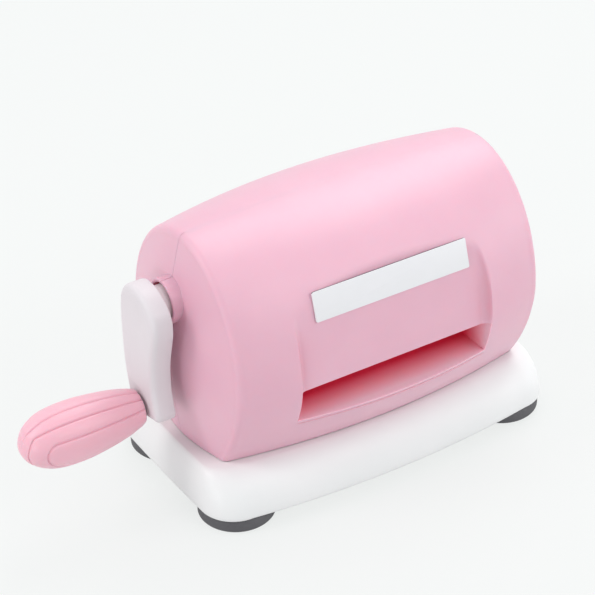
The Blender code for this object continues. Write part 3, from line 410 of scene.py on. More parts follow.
BARREL_PINK = plastic("barrel_pink", (229, 177, 194), (226, 173, 191), (0.42, 0.52),
                      ior=1.55, depth=4 * MM, coat=0.55)
# A lighter copy of the barrel's pink for the slot: painted light near the mouth, painted shade
# below
SLOT_SHADED_PINK = plastic("slot_pink_painted_light_and_shade", (254, 206, 219), (252, 202, 216), depth=4 * MM)
GRIP_PINK = plastic("grip_rose", (238, 181, 195), (235, 177, 191), (0.42, 0.52),
                    ior=1.55, depth=3 * MM, coat=0.6)
BASE_WHITE = plastic("base_white", (238, 238, 237), (235, 236, 235), (0.38, 0.48))
ARM_GREY = plastic("arm_pale_grey", (222, 215, 218), (218, 211, 214))
PLATE_WHITE = plastic("plate_white", (233, 232, 234), (230, 230, 231), (0.3, 0.36), bump=0.04)
# Dark edge faces of the name plate: a painted shadow on its right and top edges
PLATE_EDGE_SHADOW = plastic("plate_edge_painted_shadow", (92, 78, 84), (84, 72, 78))
NYLON = plastic("gear_nylon", (228, 224, 214), (222, 218, 206), (0.45, 0.55), 900.0)
RUBBER = plastic("foot_rubber", (86, 85, 88), (94, 93, 96), (0.62, 0.78), 700.0, 0.3)
COLLAR_WHITE = plastic("collar_white", (232, 218, 220), (228, 214, 216))
WASHER_GREY = plastic("washer_grey", (196, 188, 192), (188, 180, 184))
print("plastics made:", len(bpy.data.materials))

# %% [markdown]
# In a crease of the moulding, and inside the slot, light only arrives by way of other pink walls,
# so the shade there is painted into the colour: the pink deepens to red. One measure of that is how
# open a place is within its own piece, from an Ambient Occlusion node. In the slot the distance
# from the seam is another, and the stronger of the two counts.

# %% Painted shade: deeper pink in the creases and the slot
CREASE_REACH = 12 * MM
CREASE_SHADE_RED = tint(200, 82, 110)
SLOT_REACH = 18 * MM
SLOT_SHADE_RED = tint(234, 54, 88)
SHADE_FROM, SHADE_FULL = 52 * MM, 35 * MM


def openness(tree, reach):
    """1 on a plain surface, and less in a corner of the same piece."""
    made = tree.nodes.new("ShaderNodeAmbientOcclusion")
    made.only_local = True
    made.samples = 8
    made.inputs["Distance"].default_value = reach
    return made.outputs["AO"]


def paint_shade(material, factor, colour):
    """Mix a colour of painted shade into what already feeds a material's Base Color."""
    tree = material.node_tree
    base_colour = tree.nodes["Principled BSDF"].inputs["Base Color"]
    feed(tree, mix_node(tree, factor, base_colour.links[0].from_socket, colour), base_colour)


# Painted shade: the barrel's pink deepens to red in its own creases
tree = BARREL_PINK.node_tree
crease = range_node(tree, openness(tree, CREASE_REACH), 0.0, 1.0, 0.98, 0.66)
paint_shade(BARREL_PINK, crease, CREASE_SHADE_RED)

# Painted shade in the slot: red deeper in from the mouth and in its corners
tree = SLOT_SHADED_PINK.node_tree
split = tree.nodes.new("ShaderNodeSeparateXYZ")
feed(tree, object_places(tree), split.inputs["Vector"])
from_seam = math_node(tree, "ABSOLUTE", split.outputs["Y"])
far_in = range_node(tree, from_seam, 0.0, 1.0, SHADE_FROM, SHADE_FULL)
corner_share = range_node(tree, openness(tree, SLOT_REACH), 0.0, 0.75, 0.62, 0.25)
paint_shade(SLOT_SHADED_PINK, math_node(tree, "MAXIMUM", far_in, corner_share), SLOT_SHADE_RED)
print("nodes in the slot's pink:", len(tree.nodes))

# %% [markdown]
# Steel is a metal, so its colour is in its reflection. The grinding rings are a fine wave along
# the roller's axis, broken up by noise, and they change the roughness and a very small bump.

# %% Metals
RING_DEPTH = 0.05 * MM
STAIN_SCALE = 60.0

STEEL_GROUP, inputs, places = finish_group("ground_steel", "Stain", {"Ring Scale": 400.0})
rings = STEEL_GROUP.nodes.new("ShaderNodeTexWave")
rings.bands_direction = "X"
rings.inputs["Distortion"].default_value = 3.0
rings.inputs["Detail"].default_value = 3.0
rings.inputs["Detail Scale"].default_value = 1.5
feed(STEEL_GROUP, places, rings.inputs["Vector"])
feed(STEEL_GROUP, inputs["Ring Scale"], rings.inputs["Scale"])
stains = noise_node(STEEL_GROUP, places, STAIN_SCALE, 4.0, 0.6)
stain_share = range_node(STEEL_GROUP, stains, 0.0, 1.0, 0.45, 0.75)
stained = mix_node(STEEL_GROUP, stain_share, inputs["Colour"], inputs["Stain"])
give(STEEL_GROUP, stained, rings.outputs["Fac"], rings.outputs["Fac"])


def metal(name, colour, stain, rough, ring_scale, bump):
    """A metal with the ground steel group."""
    values = {"Colour": tint(*colour), "Stain": tint(*stain), "Ring Scale": ring_scale}
    made = finish_material(name, STEEL_GROUP, values, rough, bump, RING_DEPTH)
    made.node_tree.nodes["Principled BSDF"].inputs["Metallic"].default_value = 1.0
    return made


ROLLER_STEEL = metal("roller_steel", (205, 206, 208), (188, 188, 190), (0.24, 0.34), 500.0, 0.3)
ZINC = metal("zinc_plate", (198, 201, 205), (176, 180, 186), (0.34, 0.46), 160.0, 0.08)
SCREW_STEEL = metal("screw_steel", (190, 192, 195), (166, 168, 172), (0.3, 0.42), 300.0, 0.1)
print("materials made:", len(bpy.data.materials))

# %% [markdown]
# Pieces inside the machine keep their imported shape, and only their material slots change.

# %% Finishes of the inner pieces
FINISH_OF = {
    "left_frame": ZINC, "right_frame": ZINC, "shaft_clip": ZINC,
    "upper_shaft": ROLLER_STEEL, "lower_shaft": ROLLER_STEEL, "drive_shaft": ROLLER_STEEL,
    "drive_pinion": ROLLER_STEEL, "grip_pin": ROLLER_STEEL,
    "drive_gear": NYLON, "upper_sync_gear": NYLON, "lower_sync_gear": NYLON,
}
FASTENERS = ("tie_rod", "base_screw", "frame_screw", "foot_screw", "housing_screw")
refinished = 0
for node_name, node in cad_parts.items():
    finish = FINISH_OF.get(node_name)
    if node_name.startswith(FASTENERS):
        finish = SCREW_STEEL
    elif node_name.endswith("bush"):
        finish = NYLON
    if finish is None:
        continue
    refinished += 1
    for place in node.material_slots:
        place.material = finish
print("inner pieces given a finish:", refinished)

# %% [markdown]
# ## Sizes shared by the housing's pieces
#
# The barrel is a loft: an ellipse above its middle line and a slightly squarer curve below it,
# widest in the middle of its length. Its ends turn in over a small fillet and close in a low
# dome. All sizes are the ones the inner works were built to.

# %% Sizes of the barrel
MACHINE_X = 35.5 * MM
GAP = 0.3 * MM
TOP_SEAM = 0.01 * MM
END_SEAM = 0.09 * MM
BARREL_X = 1.2 * MM
BARREL_HALF = 77.9 * MM
BARREL_WIDTH = 61.8 * MM
BARREL_END_WIDTH = 48.4 * MM
BARREL_TOP = 63.2 * MM
BARREL_END_TOP = 60.5 * MM
BARREL_BOTTOM = 67.7 * MM
BARREL_Z = 73.4 * MM
END_FILLET = 3.8 * MM
END_DOME = 8.0 * MM
LOWER_POWER = 1.64
WALL = 2.3 * MM
HOUSING_Z = 28.2 * MM
SLOT_X = (-52.0 * MM, 50.0 * MM)
SLOT_Z = (52.0 * MM, 69.5 * MM)
SLOT_EDGES = 4 * MM
TUNNEL_END = 14.5 * MM
PANEL_X = (-50.0 * MM, 45.0 * MM)
PANEL_FRONT = 54.0 * MM
PANEL_RADIUS = 157.0 * MM
PANEL_UPRIGHT = 62.0 * MM
COVE_RADII = (2.4 * MM, 5.2 * MM)
COVE_REACH = 0.95
COVE_SLOPE = 3
PANEL_SOFTNESS = 1.0 * MM
CRANK_Z = 102.5 * MM
HUB_X = -90.5 * MM


def barrel_section(x):
    """Half width, height above and height below the middle line, at a distance along the barrel."""
    reach = abs(x)
    share = (min(reach, BARREL_HALF) / BARREL_HALF) ** 2
    width = BARREL_WIDTH - (BARREL_WIDTH - BARREL_END_WIDTH) * share
    top = BARREL_TOP - (BARREL_TOP - BARREL_END_TOP) * share
    return width, top, BARREL_BOTTOM


def panel_limit(x, z):
    """How far from the seam the flat panel lets the barrel reach."""
    rise = z - PANEL_UPRIGHT
    limit = PANEL_FRONT - rise * rise / (2 * PANEL_RADIUS)
    for past, radius in zip((PANEL_X[0] - x, x - PANEL_X[1]), COVE_RADII):
        if past > 0:
            inside = min(past, COVE_REACH * radius)
            limit += radius - math.sqrt(radius ** 2 - inside ** 2)
            limit += COVE_SLOPE * max(0, past - inside)
    return limit


def soft_least(first, second, softness):
    """The lesser of two values, rounded off where they are nearly the same."""
    near = max(softness - abs(first - second), 0) / softness
    return min(first, second) - near * near * softness / 4


print("middle section:", [round(size / MM, 1) for size in barrel_section(0)], "mm")

# %% [markdown]
# ## The two halves of the barrel
#
# Each half is a shell 2.3 mm thick. It could be cut with booleans, but a grid keeps its quads
# even: its columns run along the machine, through the fillet and the dome at each end, and its
# rows run round from the top seam to the underside. The edges of the slot are made to fall on
# grid lines. The panel is a limit on how far a corner may reach, rounded where the two meet.

# %% Grid of one half
FILLET_COLUMNS = 7
DOME_COLUMNS = 26
POLE_MERGE = 0.015 * MM


def column_list():
    """Each column's distance from the barrel's middle, and how far its section is drawn in."""
    middle = stations(
        -BARREL_HALF, (SLOT_X[0] - BARREL_X - SLOT_EDGES, 9), (SLOT_X[0] - BARREL_X, 9),
        (PANEL_X[0] - BARREL_X + 2 * MM, 9), (PANEL_X[1] - BARREL_X - 2 * MM, 34),
        (SLOT_X[1] - BARREL_X, 15), (SLOT_X[1] - BARREL_X + SLOT_EDGES, 7), (BARREL_HALF, 11),
    )
    end = []
    for angle in quarter(FILLET_COLUMNS, 1):
        reach = BARREL_HALF + END_FILLET * math.sin(angle)
        end.append((reach, END_FILLET * (1 - math.cos(angle)), 1))
    for step in range(1, DOME_COLUMNS + 1):
        share = 1 - step / DOME_COLUMNS
        end.append((BARREL_HALF + END_FILLET + END_DOME * (1 - share ** 2), END_FILLET, share))
    columns = [(-reach, inset, share) for reach, inset, share in reversed(end)]
    columns += [(x, 0, 1) for x in middle]
    return columns + end


def row_list():
    """Angles round the barrel, from the top seam to the underside, with the slot's edges."""
    angles = []
    for height in (SLOT_Z[1], SLOT_Z[0]):
        drop = (BARREL_Z - height) / BARREL_BOTTOM
        angles.append(math.pi + math.asin(drop ** (LOWER_POWER / 2)))
    return stations(
        math.pi / 2, (math.pi, 72), (angles[0], 5), (angles[1], 14), (1.5 * math.pi, 54)
    )


def half_barrel(side):
    """The outer skin of one half, before its slot is opened. The side is -1 for the front."""
    columns = column_list()
    rows = row_list()

    def place(column, row):
        x, inset, share = columns[column]
        width, top, bottom = barrel_section(x)
        across = max(0, -math.cos(rows[row]))
        rise = math.sin(rows[row])
        power, height = (2.0, top) if rise >= 0 else (LOWER_POWER, bottom)
        y = (width - inset) * share * across ** (2 / power)
        z = BARREL_Z + (height - inset) * share * math.copysign(abs(rise) ** (2 / power), rise)
        if z > SLOT_Z[0] + MM:
            y = soft_least(y, panel_limit(x + BARREL_X, z), PANEL_SOFTNESS)
        seam = END_SEAM if inset else TOP_SEAM
        return Vector((x + BARREL_X + MACHINE_X, side * max(y, seam), z))

    shape = bent_grid(len(columns) - 1, len(rows) - 1, place)
    # Each end's last column is a single point, and the lowest rows of the domes meet on the seam
    bmesh.ops.remove_doubles(shape, verts=shape.verts, dist=POLE_MERGE)
    cut_off(shape, (0, 0, HOUSING_Z), (0, 0, -1))
    return shape


print("grid of a half:", len(column_list()) - 1, "by", len(row_list()) - 1, "faces")

# %% [markdown]
# The slot is opened by deleting faces, and its walls are one extrusion of the opening's edge. A
# small bevel softens the mouth. The walls and what lies just inside the mouth get the second pink,
# a lighter copy with painted light near the mouth and painted shade deepening to red further in.

# %% Slot and wall of each half
MOUTH_RADIUS = 0.7 * MM
RIM_MARGIN = 0.05 * MM


def in_slot(place, margin=0.0):
    """Whether a place lies within the slot as seen from the front."""
    low_x, high_x = (value + MACHINE_X for value in SLOT_X)
    inside_x = low_x - margin < place.x < high_x + margin
    return inside_x and SLOT_Z[0] - margin < place.z < SLOT_Z[1] + margin


def open_slot(shape, side):
    """Delete the skin over the slot, then draw its edge inwards as the tunnel's walls."""
    doomed = [face for face in shape.faces if in_slot(face.calc_center_median())]
    bmesh.ops.delete(shape, geom=doomed, context="FACES")
    rim = []
    for edge in shape.edges:
        middle = (edge.verts[0].co + edge.verts[1].co) / 2
        if edge.is_boundary and in_slot(middle, RIM_MARGIN):
            rim.append(edge)
    made = bmesh.ops.extrude_edge_only(shape, edges=rim)
    for corner in new_corners(made):
        corner.co.y = side * TUNNEL_END
    for item in made["geom"]:
        # The walls take the second material, the slot's pink with painted light and shade
        if isinstance(item, bmesh.types.BMFace):
            item.material_index = 1
    bmesh.ops.recalc_face_normals(shape, faces=shape.faces)
    return rim


def round_edges(shape, edges, width, segments=3):
    """Bevel a list of edges."""
    return bmesh.ops.bevel(
        shape, geom=edges, offset=width, offset_type="OFFSET", segments=segments,
        profile=0.5, affect="EDGES", clamp_overlap=True, material=-1,
    )


def face_outwards(shape):
    """Turn an open shell so that its highest face looks up: its wall then goes inwards."""
    highest = max(shape.faces, key=lambda face: face.calc_center_median().z)
    if highest.normal.z < 0:
        bmesh.ops.reverse_faces(shape, faces=shape.faces)


def add_wall(piece, thickness):
    """Give a shell its wall on the inside, as a modifier."""
    wall = piece.modifiers.new("Wall", "SOLIDIFY")
    wall.thickness = thickness
    wall.offset = -1
    wall.use_rim = True


def make_half(name, side):
    """One half of the barrel with its slot and its wall."""
    shape = half_barrel(side)
    round_edges(shape, open_slot(shape, side), MOUTH_RADIUS)
    # What lies just inside the mouth takes the slot's pink too, with its painted light and shade
    for face in shape.faces:
        middle = face.calc_center_median()
        if in_slot(middle) and abs(middle.y) > TUNNEL_END:
            face.material_index = 1
    face_outwards(shape)
    piece = new_piece(name, shape, "machine", BARREL_PINK, 40)
    piece.data.materials.append(SLOT_SHADED_PINK)
    add_wall(piece, WALL)
    return piece


front = make_half("front_housing_moulding", -1)
rear = make_half("rear_housing_moulding", 1)
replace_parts(front, "front_housing")
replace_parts(rear, "rear_housing")
print("half barrel:", len(front.data.polygons), "faces each")

# %% [markdown]
# ## The hub on the left end
#
# A short round boss carries the crank's bush. It is moulded as two halves as well, so it is
# half a turn of one small profile on each side of the seam, with a pocket for the arm's collar.

# %% Hub
HUB_RADIUS = 10.8 * MM
POCKET_RADIUS = 9.2 * MM
POCKET_DEPTH = 4.2 * MM
HUB_ROOT = 9.5 * MM
HUB_FLARE = 0.6 * MM
BUSH_RADIUS = 6.8 * MM
MOULD_RADIUS = 0.7 * MM
hub_profile = softened(
    [
        (HUB_RADIUS + HUB_FLARE, HUB_ROOT), (HUB_RADIUS, HUB_ROOT - 5.0 * MM), (HUB_RADIUS, 0),
        (POCKET_RADIUS, 0), (POCKET_RADIUS, POCKET_DEPTH), (BUSH_RADIUS, POCKET_DEPTH),
        (BUSH_RADIUS, HUB_ROOT),
    ],
    MOULD_RADIUS,
)
for hub_name, side in (("hub_front_half", -1), ("hub_rear_half", 1)):
    hub = spun(hub_profile, (HUB_X + MACHINE_X, 0, CRANK_Z), "X", 80)
    cut_off(hub, (0, side * GAP / 2, 0), (0, -side, 0))
    bmesh.ops.holes_fill(hub, edges=open_rim(hub), sides=0)
    new_piece(hub_name, hub, "machine", BARREL_PINK, 40)
print("hub profile:", len(hub_profile), "points")

# %% [markdown]
# ## Making the walls real
#
# The skin behind the hub's pocket is deleted while the wall is still a modifier, so the hole gets
# its rim as well. Then the modifier's result becomes the mesh, and its rim can be marked sharp.
# Where the skin leans, the wall's inner side would slope into the slot, so it is moved back.

# %% Real walls
HUB_HOLE_RADIUS = 10.0 * MM
HUB_HOLE_DEPTH = 12 * MM


def settle(piece, smooth_angle=40):
    """Replace a piece's mesh by what its modifiers make of it, and mark its sharp edges."""
    bpy.context.view_layer.update()
    seen = piece.evaluated_get(bpy.context.evaluated_depsgraph_get())
    mesh = bpy.data.meshes.new_from_object(seen)
    piece.modifiers.clear()
    piece.data = mesh
    mesh.set_sharp_from_angle(angle=math.radians(smooth_angle))


def open_hub_hole(piece):
    """Delete the barrel's skin behind the pocket."""
    shape = bmesh.new()
    shape.from_mesh(piece.data)
    doomed = []
    for face in shape.faces:
        middle = face.calc_center_median()
        far = math.hypot(middle.y, middle.z - CRANK_Z)
        if middle.x < HUB_X + MACHINE_X + HUB_HOLE_DEPTH and far < HUB_HOLE_RADIUS:
            doomed.append(face)
    bmesh.ops.delete(shape, geom=doomed, context="FACES")
    shape.to_mesh(piece.data)
    shape.free()
    print(piece.name, "hub hole:", len(doomed), "faces")


def keep_slot_clear(piece):
    """Move the wall's inner corners, the second half of the list, out of the slot."""
    low_x, high_x = (value + MACHINE_X for value in SLOT_X)
    corners = piece.data.vertices
    moved = 0
    for corner in corners[len(corners) // 2:]:
        place = corner.co
        margins = [
            (place.z - SLOT_Z[0], 2, SLOT_Z[0] - GAP), (SLOT_Z[1] - place.z, 2, SLOT_Z[1] + GAP),
            (place.x - low_x, 0, low_x - GAP), (high_x - place.x, 0, high_x + GAP),
        ]
        nearest, axis, clear_value = min(margins)
        if nearest > 0 and abs(place.y) > TUNNEL_END + MM:
            place[axis] = clear_value
            moved += 1
    print(piece.name, "corners moved out of the slot:", moved)


for half in (front, rear):
    open_hub_hole(half)
    settle(half)
    keep_slot_clear(half)

# %% [markdown]
# The round rim of each end meets the low dome inside it in a fine line. The rear half gets its
# line later, because a boolean cut would wipe out the mark.

# %% End creases
CREASE_TOLERANCE = 0.01 * MM


def sharpen_end_crease(piece):
    """Keep the line crisp where the round rim of each end meets the low dome inside it."""
    reach = BARREL_HALF + END_FILLET
    corners = piece.data.vertices
    crisp = 0
    for edge in piece.data.edges:
        ends = [abs(corners[corner].co.x - MACHINE_X - BARREL_X) for corner in edge.vertices]
        if all(abs(place - reach) < CREASE_TOLERANCE for place in ends):
            edge.use_edge_sharp = True
            crisp += 1
    print(piece.name, "crisp edges:", crisp)


sharpen_end_crease(front)

# %% [markdown]
# ## The base
#
# The base is a white tray turned upside down. Its outline has round corners and bulging sides,
# and its skirt rises over a rounded shoulder to the deck. The grid runs round the outline and up
# the skirt, and Solidify gives it its wall.

# %% Base shell
RIM_Z = 7.2 * MM
DECK_Z = 27.9 * MM
BASE_RIM = (94.0 * MM, 50.2 * MM, 5.9 * MM, 17.4 * MM)
BASE_DECK = (88.5 * MM, 34.5 * MM, 6.5 * MM, 11.0 * MM)
END_BULGE = 0.4 * MM
SKIRT_POWER = 1.75
CORNER_STEPS = 12
SIDE_STEPS = 36
END_STEPS = 16
SKIRT_ROWS = 24
BASE_WALL = 2.0 * MM
# How far each row of the rounded rim is drawn in, and its height above the rim, in mm
RIM_ROWS = ((2.4, 0.0), (1.0, 0.0), (0.5, 0.12), (0.15, 0.5), (0.0, 1.2))
DECK_INSETS = (1.5, 4.0, 8.0, 11.5)


def outline(half_length, half_width, bulge, corner):
    """The base seen from above, as a list of points."""
    straight_x = half_length - corner
    straight_y = half_width - corner
    points = []
    for quarter, (side_x, side_y) in enumerate(((1, 1), (-1, 1), (-1, -1), (1, -1))):
        for step in range(CORNER_STEPS + 1):
            angle = math.pi / 2 * (quarter + step / CORNER_STEPS)
            x = side_x * straight_x + corner * math.cos(angle)
            points.append((x, side_y * straight_y + corner * math.sin(angle)))
        long_side = quarter % 2 == 0
        steps = SIDE_STEPS if long_side else END_STEPS
        for step in range(1, steps):
            share = 1 - 2 * step / steps
            rise = 1 - share * share
            x, y = straight_x * share, half_width + bulge * rise
            if not long_side:
                x, y = half_length + END_BULGE * rise, straight_y * share
            points.append((side_x * x, side_y * y))
    return points


def skirt_size(share):
    """The outline's sizes at a share of the way from the rim to the deck."""
    lean = 1 - (1 - share ** SKIRT_POWER) ** (1 / SKIRT_POWER)
    return [low + (high - low) * lean for low, high in zip(BASE_RIM, BASE_DECK)]


def drawn_outline(sizes, inset):
    """The outline of some sizes, moved inwards."""
    half_length, half_width, bulge, corner = sizes
    return outline(half_length - inset, half_width - inset, bulge, max(corner - inset, MM))


base_rows = [(drawn_outline(BASE_RIM, inset * MM), RIM_Z + rise * MM) for inset, rise in RIM_ROWS]
skirt_start = base_rows[-1][1]
for angle in quarter(SKIRT_ROWS, 1):
    share = math.sin(angle)
    base_rows.append((outline(*skirt_size(share)), skirt_start + (DECK_Z - skirt_start) * share))
for inset in DECK_INSETS:
    base_rows.append((drawn_outline(BASE_DECK, inset * MM), DECK_Z))
round_count = len(base_rows[0][0])


def base_place(column, row):
    """Where a corner of the base's grid goes."""
    points, height = base_rows[row]
    x, y = points[column % round_count]
    return Vector((x + MACHINE_X, y, height))


shell = bent_grid(round_count, len(base_rows) - 1, base_place)
face_outwards(shell)
base = new_piece("base_moulding", shell, "machine", BASE_WHITE, 50)
add_wall(base, BASE_WALL)
settle(base, 50)
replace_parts(base, "base_shell")
print("base:", len(base.data.polygons), "faces")

# %% [markdown]
# ## The bottom plate
#
# A flat plate closes the base from below. Its outline is the rim's, a little smaller, made thick
# by an extrusion, with its edges broken by a small bevel.

# %% Bottom plate
PLATE_INSET = 2.7 * MM
PLATE_TOP = 3.0 * MM
PLATE_UNDER = 0.4 * MM
PLATE_BEVEL = 0.3 * MM
plate_points = drawn_outline(BASE_RIM, PLATE_INSET)
plate_shape = bmesh.new()
bmesh.ops.create_circle(plate_shape, cap_ends=True, segments=len(plate_points), radius=1)
plate_shape.verts.ensure_lookup_table()
for corner, (x, y) in zip(plate_shape.verts, plate_points):
    corner.co = (x + MACHINE_X, y, RIM_Z + PLATE_UNDER)
raised = bmesh.ops.extrude_face_region(plate_shape, geom=plate_shape.faces[:])
lift = (0, 0, PLATE_TOP - PLATE_UNDER)
bmesh.ops.translate(plate_shape, vec=lift, verts=new_corners(raised))
bmesh.ops.recalc_face_normals(plate_shape, faces=plate_shape.faces)
plate_rim = [edge for edge in plate_shape.edges if edge.calc_face_angle(0) > 1]
round_edges(plate_shape, plate_rim, PLATE_BEVEL, 2)
plate = new_piece("bottom_plate", plate_shape, "machine", BASE_WHITE)
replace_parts(plate, "base_plate")
print("bottom plate:", len(plate.data.polygons), "faces")

# %% [markdown]
# ## Feet and screws
#
# Each foot is a soft ring with a hollow underneath, turned from one profile.

# %% Feet
FOOT_RADIUS = 18.2 * MM
FOOT_HEIGHT = 6.9 * MM
FOOT_PLACES = {
    "front_left": (-75 * MM, -31.9 * MM), "front_right": (75 * MM, -31.9 * MM),
    "rear_left": (-75 * MM, 31.9 * MM), "rear_right": (75 * MM, 31.9 * MM),
}
FOOT_HOLLOW = 3.0 * MM
SCREW_HOLE_RADIUS = 1.8 * MM
foot_profile = softened(
    [
        (SCREW_HOLE_RADIUS, FOOT_HEIGHT), (FOOT_RADIUS - 0.8 * MM, FOOT_HEIGHT),
        (FOOT_RADIUS, FOOT_HEIGHT - 1.6 * MM), (FOOT_RADIUS, 1.4 * MM),
        (FOOT_RADIUS - 1.2 * MM, 0), (FOOT_RADIUS - 7.0 * MM, 0),
        (FOOT_RADIUS - 8.2 * MM, FOOT_HOLLOW), (SCREW_HOLE_RADIUS, FOOT_HOLLOW),
    ],
    MOULD_RADIUS,
)
for where, (x, y) in FOOT_PLACES.items():
    foot = spun(foot_profile, (x + MACHINE_X, y, 0), "Z", 72)
    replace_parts(new_piece("foot_" + where + "_ring", foot, "machine", RUBBER), "foot_" + where)
print("feet:", len(FOOT_PLACES), "on profiles of", len(foot_profile), "points")

# %% [markdown]
# The screws that hold the feet and join the housing have a low pan head with a cross recess. The
# recess is cut by two crossed wedges, once for each length, and the result is copied and turned.

# %% Screws
SCREW_HEAD_RADIUS = 3.0 * MM
SCREW_HEAD = 2.0 * MM
SHANK_RADIUS = 1.5 * MM
SHANK_POINT = 1.2 * MM
HEAD_ROWS = 8
RECESS = (3.0 * MM, 0.7 * MM, 2.4 * MM)
RECESS_TAPER = 0.35


def screw_shape(length):
    """A pan-head screw along +Z, with its seat at the origin."""
    profile = [(0, SCREW_HEAD)]
    for angle in quarter(HEAD_ROWS, 1):
        height = SCREW_HEAD * (0.45 + 0.55 * math.cos(angle))
        profile.append((SCREW_HEAD_RADIUS * math.sin(angle), height))
    shank = [(SHANK_RADIUS, 0), (SHANK_RADIUS, SHANK_POINT - length), (0, -length)]
    return spun(profile + [(SCREW_HEAD_RADIUS, 0)] + shank, (0, 0, 0), "Z", 32)


def recess_shape():
    """Two crossed wedges that cut the driver's recess."""
    shape = bmesh.new()
    for quarter in (0, 1):
        corners = bmesh.ops.create_cube(shape, size=1)["verts"]
        bmesh.ops.scale(shape, vec=RECESS, verts=corners)
        for corner in corners:
            if corner.co.z < 0:
                corner.co.x *= RECESS_TAPER
        turn = Matrix.Rotation(quarter * math.pi / 2, 3, "Z")
        bmesh.ops.rotate(shape, cent=(0, 0, 0), matrix=turn, verts=corners)
    bmesh.ops.translate(shape, vec=(0, 0, SCREW_HEAD), verts=shape.verts)
    return shape


def cut_by(piece, tool):
    """Take one shape away from another for good."""
    boolean = piece.modifiers.new("Cut", "BOOLEAN")
    boolean.object = tool
    boolean.operation = "DIFFERENCE"
    boolean.solver = "EXACT"
    boolean.use_self = True
    settle(piece)
    bpy.data.objects.remove(tool, do_unlink=True)


def set_screws(name, length, turn, seats):
    """One screw mesh, turned and copied to each node's seat."""
    pattern = linked(name, mesh_of(name, screw_shape(length)))
    cut_by(pattern, linked("recess", mesh_of("recess", recess_shape())))
    for node_name, seat in seats.items():
        mesh = pattern.data.copy()
        mesh.transform(Matrix.Translation(seat) @ turn)
        mesh.materials.clear()
        piece = finished(node_name + "_cross_head", mesh, "machine", SCREW_STEEL)
        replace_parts(piece, node_name)
    print(name, "faces:", len(pattern.data.polygons))
    bpy.data.objects.remove(pattern, do_unlink=True)


FOOT_SCREW_SEAT = 2.7 * MM
set_screws("foot_screw_pattern", 14 * MM, Matrix.Rotation(math.pi, 4, "X"), {
    "foot_screw_" + where: Vector((x + MACHINE_X, y, FOOT_SCREW_SEAT))
    for where, (x, y) in FOOT_PLACES.items()
})

WELLS = {
    "high_left": (-45.0 * MM, 117.5 * MM), "high_right": (45.0 * MM, 117.5 * MM),
    "low_left": (-73.5 * MM, 41.0 * MM), "low_right": (73.5 * MM, 41.0 * MM),
}
WELL_SEAT = 20.0 * MM
set_screws("housing_screw_pattern", 31 * MM, Matrix.Rotation(-math.pi / 2, 4, "X"), {
    "housing_screw_" + where: Vector((x + MACHINE_X, WELL_SEAT, z))
    for where, (x, z) in WELLS.items()
})

# %% [markdown]
# ## The screw wells in the rear half
#
# The housing's screws go in from the rear, down four deep wells. Their mouths lie flush with the
# curved skin, which only a real cut can do, so the shell gets its wall first, then four
# cylinders are taken away from it. The tubes that line the wells are spun and set in behind.

# %% Screw wells
WELL_RADIUS = 3.5 * MM
TUBE_RADIUS = 5.0 * MM
PROBE_RADIUS = 5.2 * MM
PROBES = 24
MOUTH_DROP = 0.6 * MM
quarter_turn = Matrix.Rotation(math.pi / 2, 3, "X")
tool_shape = bmesh.new()
for x, z in WELLS.values():
    made = bmesh.ops.create_cone(
        tool_shape, cap_ends=True, segments=40, radius1=WELL_RADIUS, radius2=WELL_RADIUS,
        depth=60 * MM,
    )
    bmesh.ops.rotate(tool_shape, cent=(0, 0, 0), matrix=quarter_turn, verts=made["verts"])
    bmesh.ops.translate(tool_shape, vec=(x + MACHINE_X, 50 * MM, z), verts=made["verts"])
cut_by(rear, linked("well_tools", mesh_of("well_tools", tool_shape)))
sharpen_end_crease(rear)


def skin_depth(x, z):
    """How far from the seam the round skin lies at a place seen from the front."""
    width, top, bottom = barrel_section(x - BARREL_X)
    reach, power = (top, 2.0) if z > BARREL_Z else (bottom, LOWER_POWER)
    inside = max(0, 1 - abs((z - BARREL_Z) / reach) ** power)
    return width * inside ** (1 / power)


for where, (x, z) in WELLS.items():
    depths = []
    for step in range(PROBES):
        turned = 2 * math.pi * step / PROBES
        depths.append(
            skin_depth(x + PROBE_RADIUS * math.cos(turned), z + PROBE_RADIUS * math.sin(turned))
        )
    mouth = min(depths) - MOUTH_DROP
    floor_depth = WELL_SEAT - GAP
    tube_profile = softened(
        [
            (WELL_RADIUS, mouth), (TUBE_RADIUS, mouth), (TUBE_RADIUS, GAP),
            (SCREW_HOLE_RADIUS, GAP), (SCREW_HOLE_RADIUS, floor_depth), (WELL_RADIUS, floor_depth),
        ],
        0.2 * MM,
    )
    tube = spun(tube_profile, (x + MACHINE_X, 0, z), "Y", 40)
    new_piece("well_" + where, tube, "machine", BARREL_PINK)
    print("well", where, "mouth at", round(mouth / MM, 1), "mm from the seam")

# %% [markdown]
# ## The name plate
#
# A thin bare plate sits on the panel and leans back with it. Its face is white. Along its right
# and top edges a painted shadow is drawn: the edge faces there get a second, dark material.

# %% Name plate
NAME_LEFT = -41.3 * MM
NAME_LENGTH = 82.0 * MM
NAME_HEIGHT = 14.2 * MM
NAME_THICK = 0.8 * MM
NAME_Z = 107.2 * MM
NAME_CORNER = 0.8 * MM
NAME_RIM = 0.12 * MM
EDGE_TURN = 0.3
lean = math.atan((NAME_Z - PANEL_UPRIGHT) / PANEL_RADIUS)
name_shape = bmesh.new()
bmesh.ops.create_cube(name_shape, size=1)
bmesh.ops.scale(name_shape, vec=(NAME_LENGTH, NAME_THICK, NAME_HEIGHT), verts=name_shape.verts)
outer_corners = [
    edge for edge in name_shape.edges if edge.verts[0].co.y * edge.verts[1].co.y < 0
]
round_edges(name_shape, outer_corners, NAME_CORNER, 4)
face_rim = [
    edge for edge in name_shape.edges
    if all(corner.co.y < 0 for corner in edge.verts) and edge.calc_face_angle(0) > 1
]
round_edges(name_shape, face_rim, NAME_RIM, 2)
lean_back = Matrix.Rotation(-lean, 3, "X")
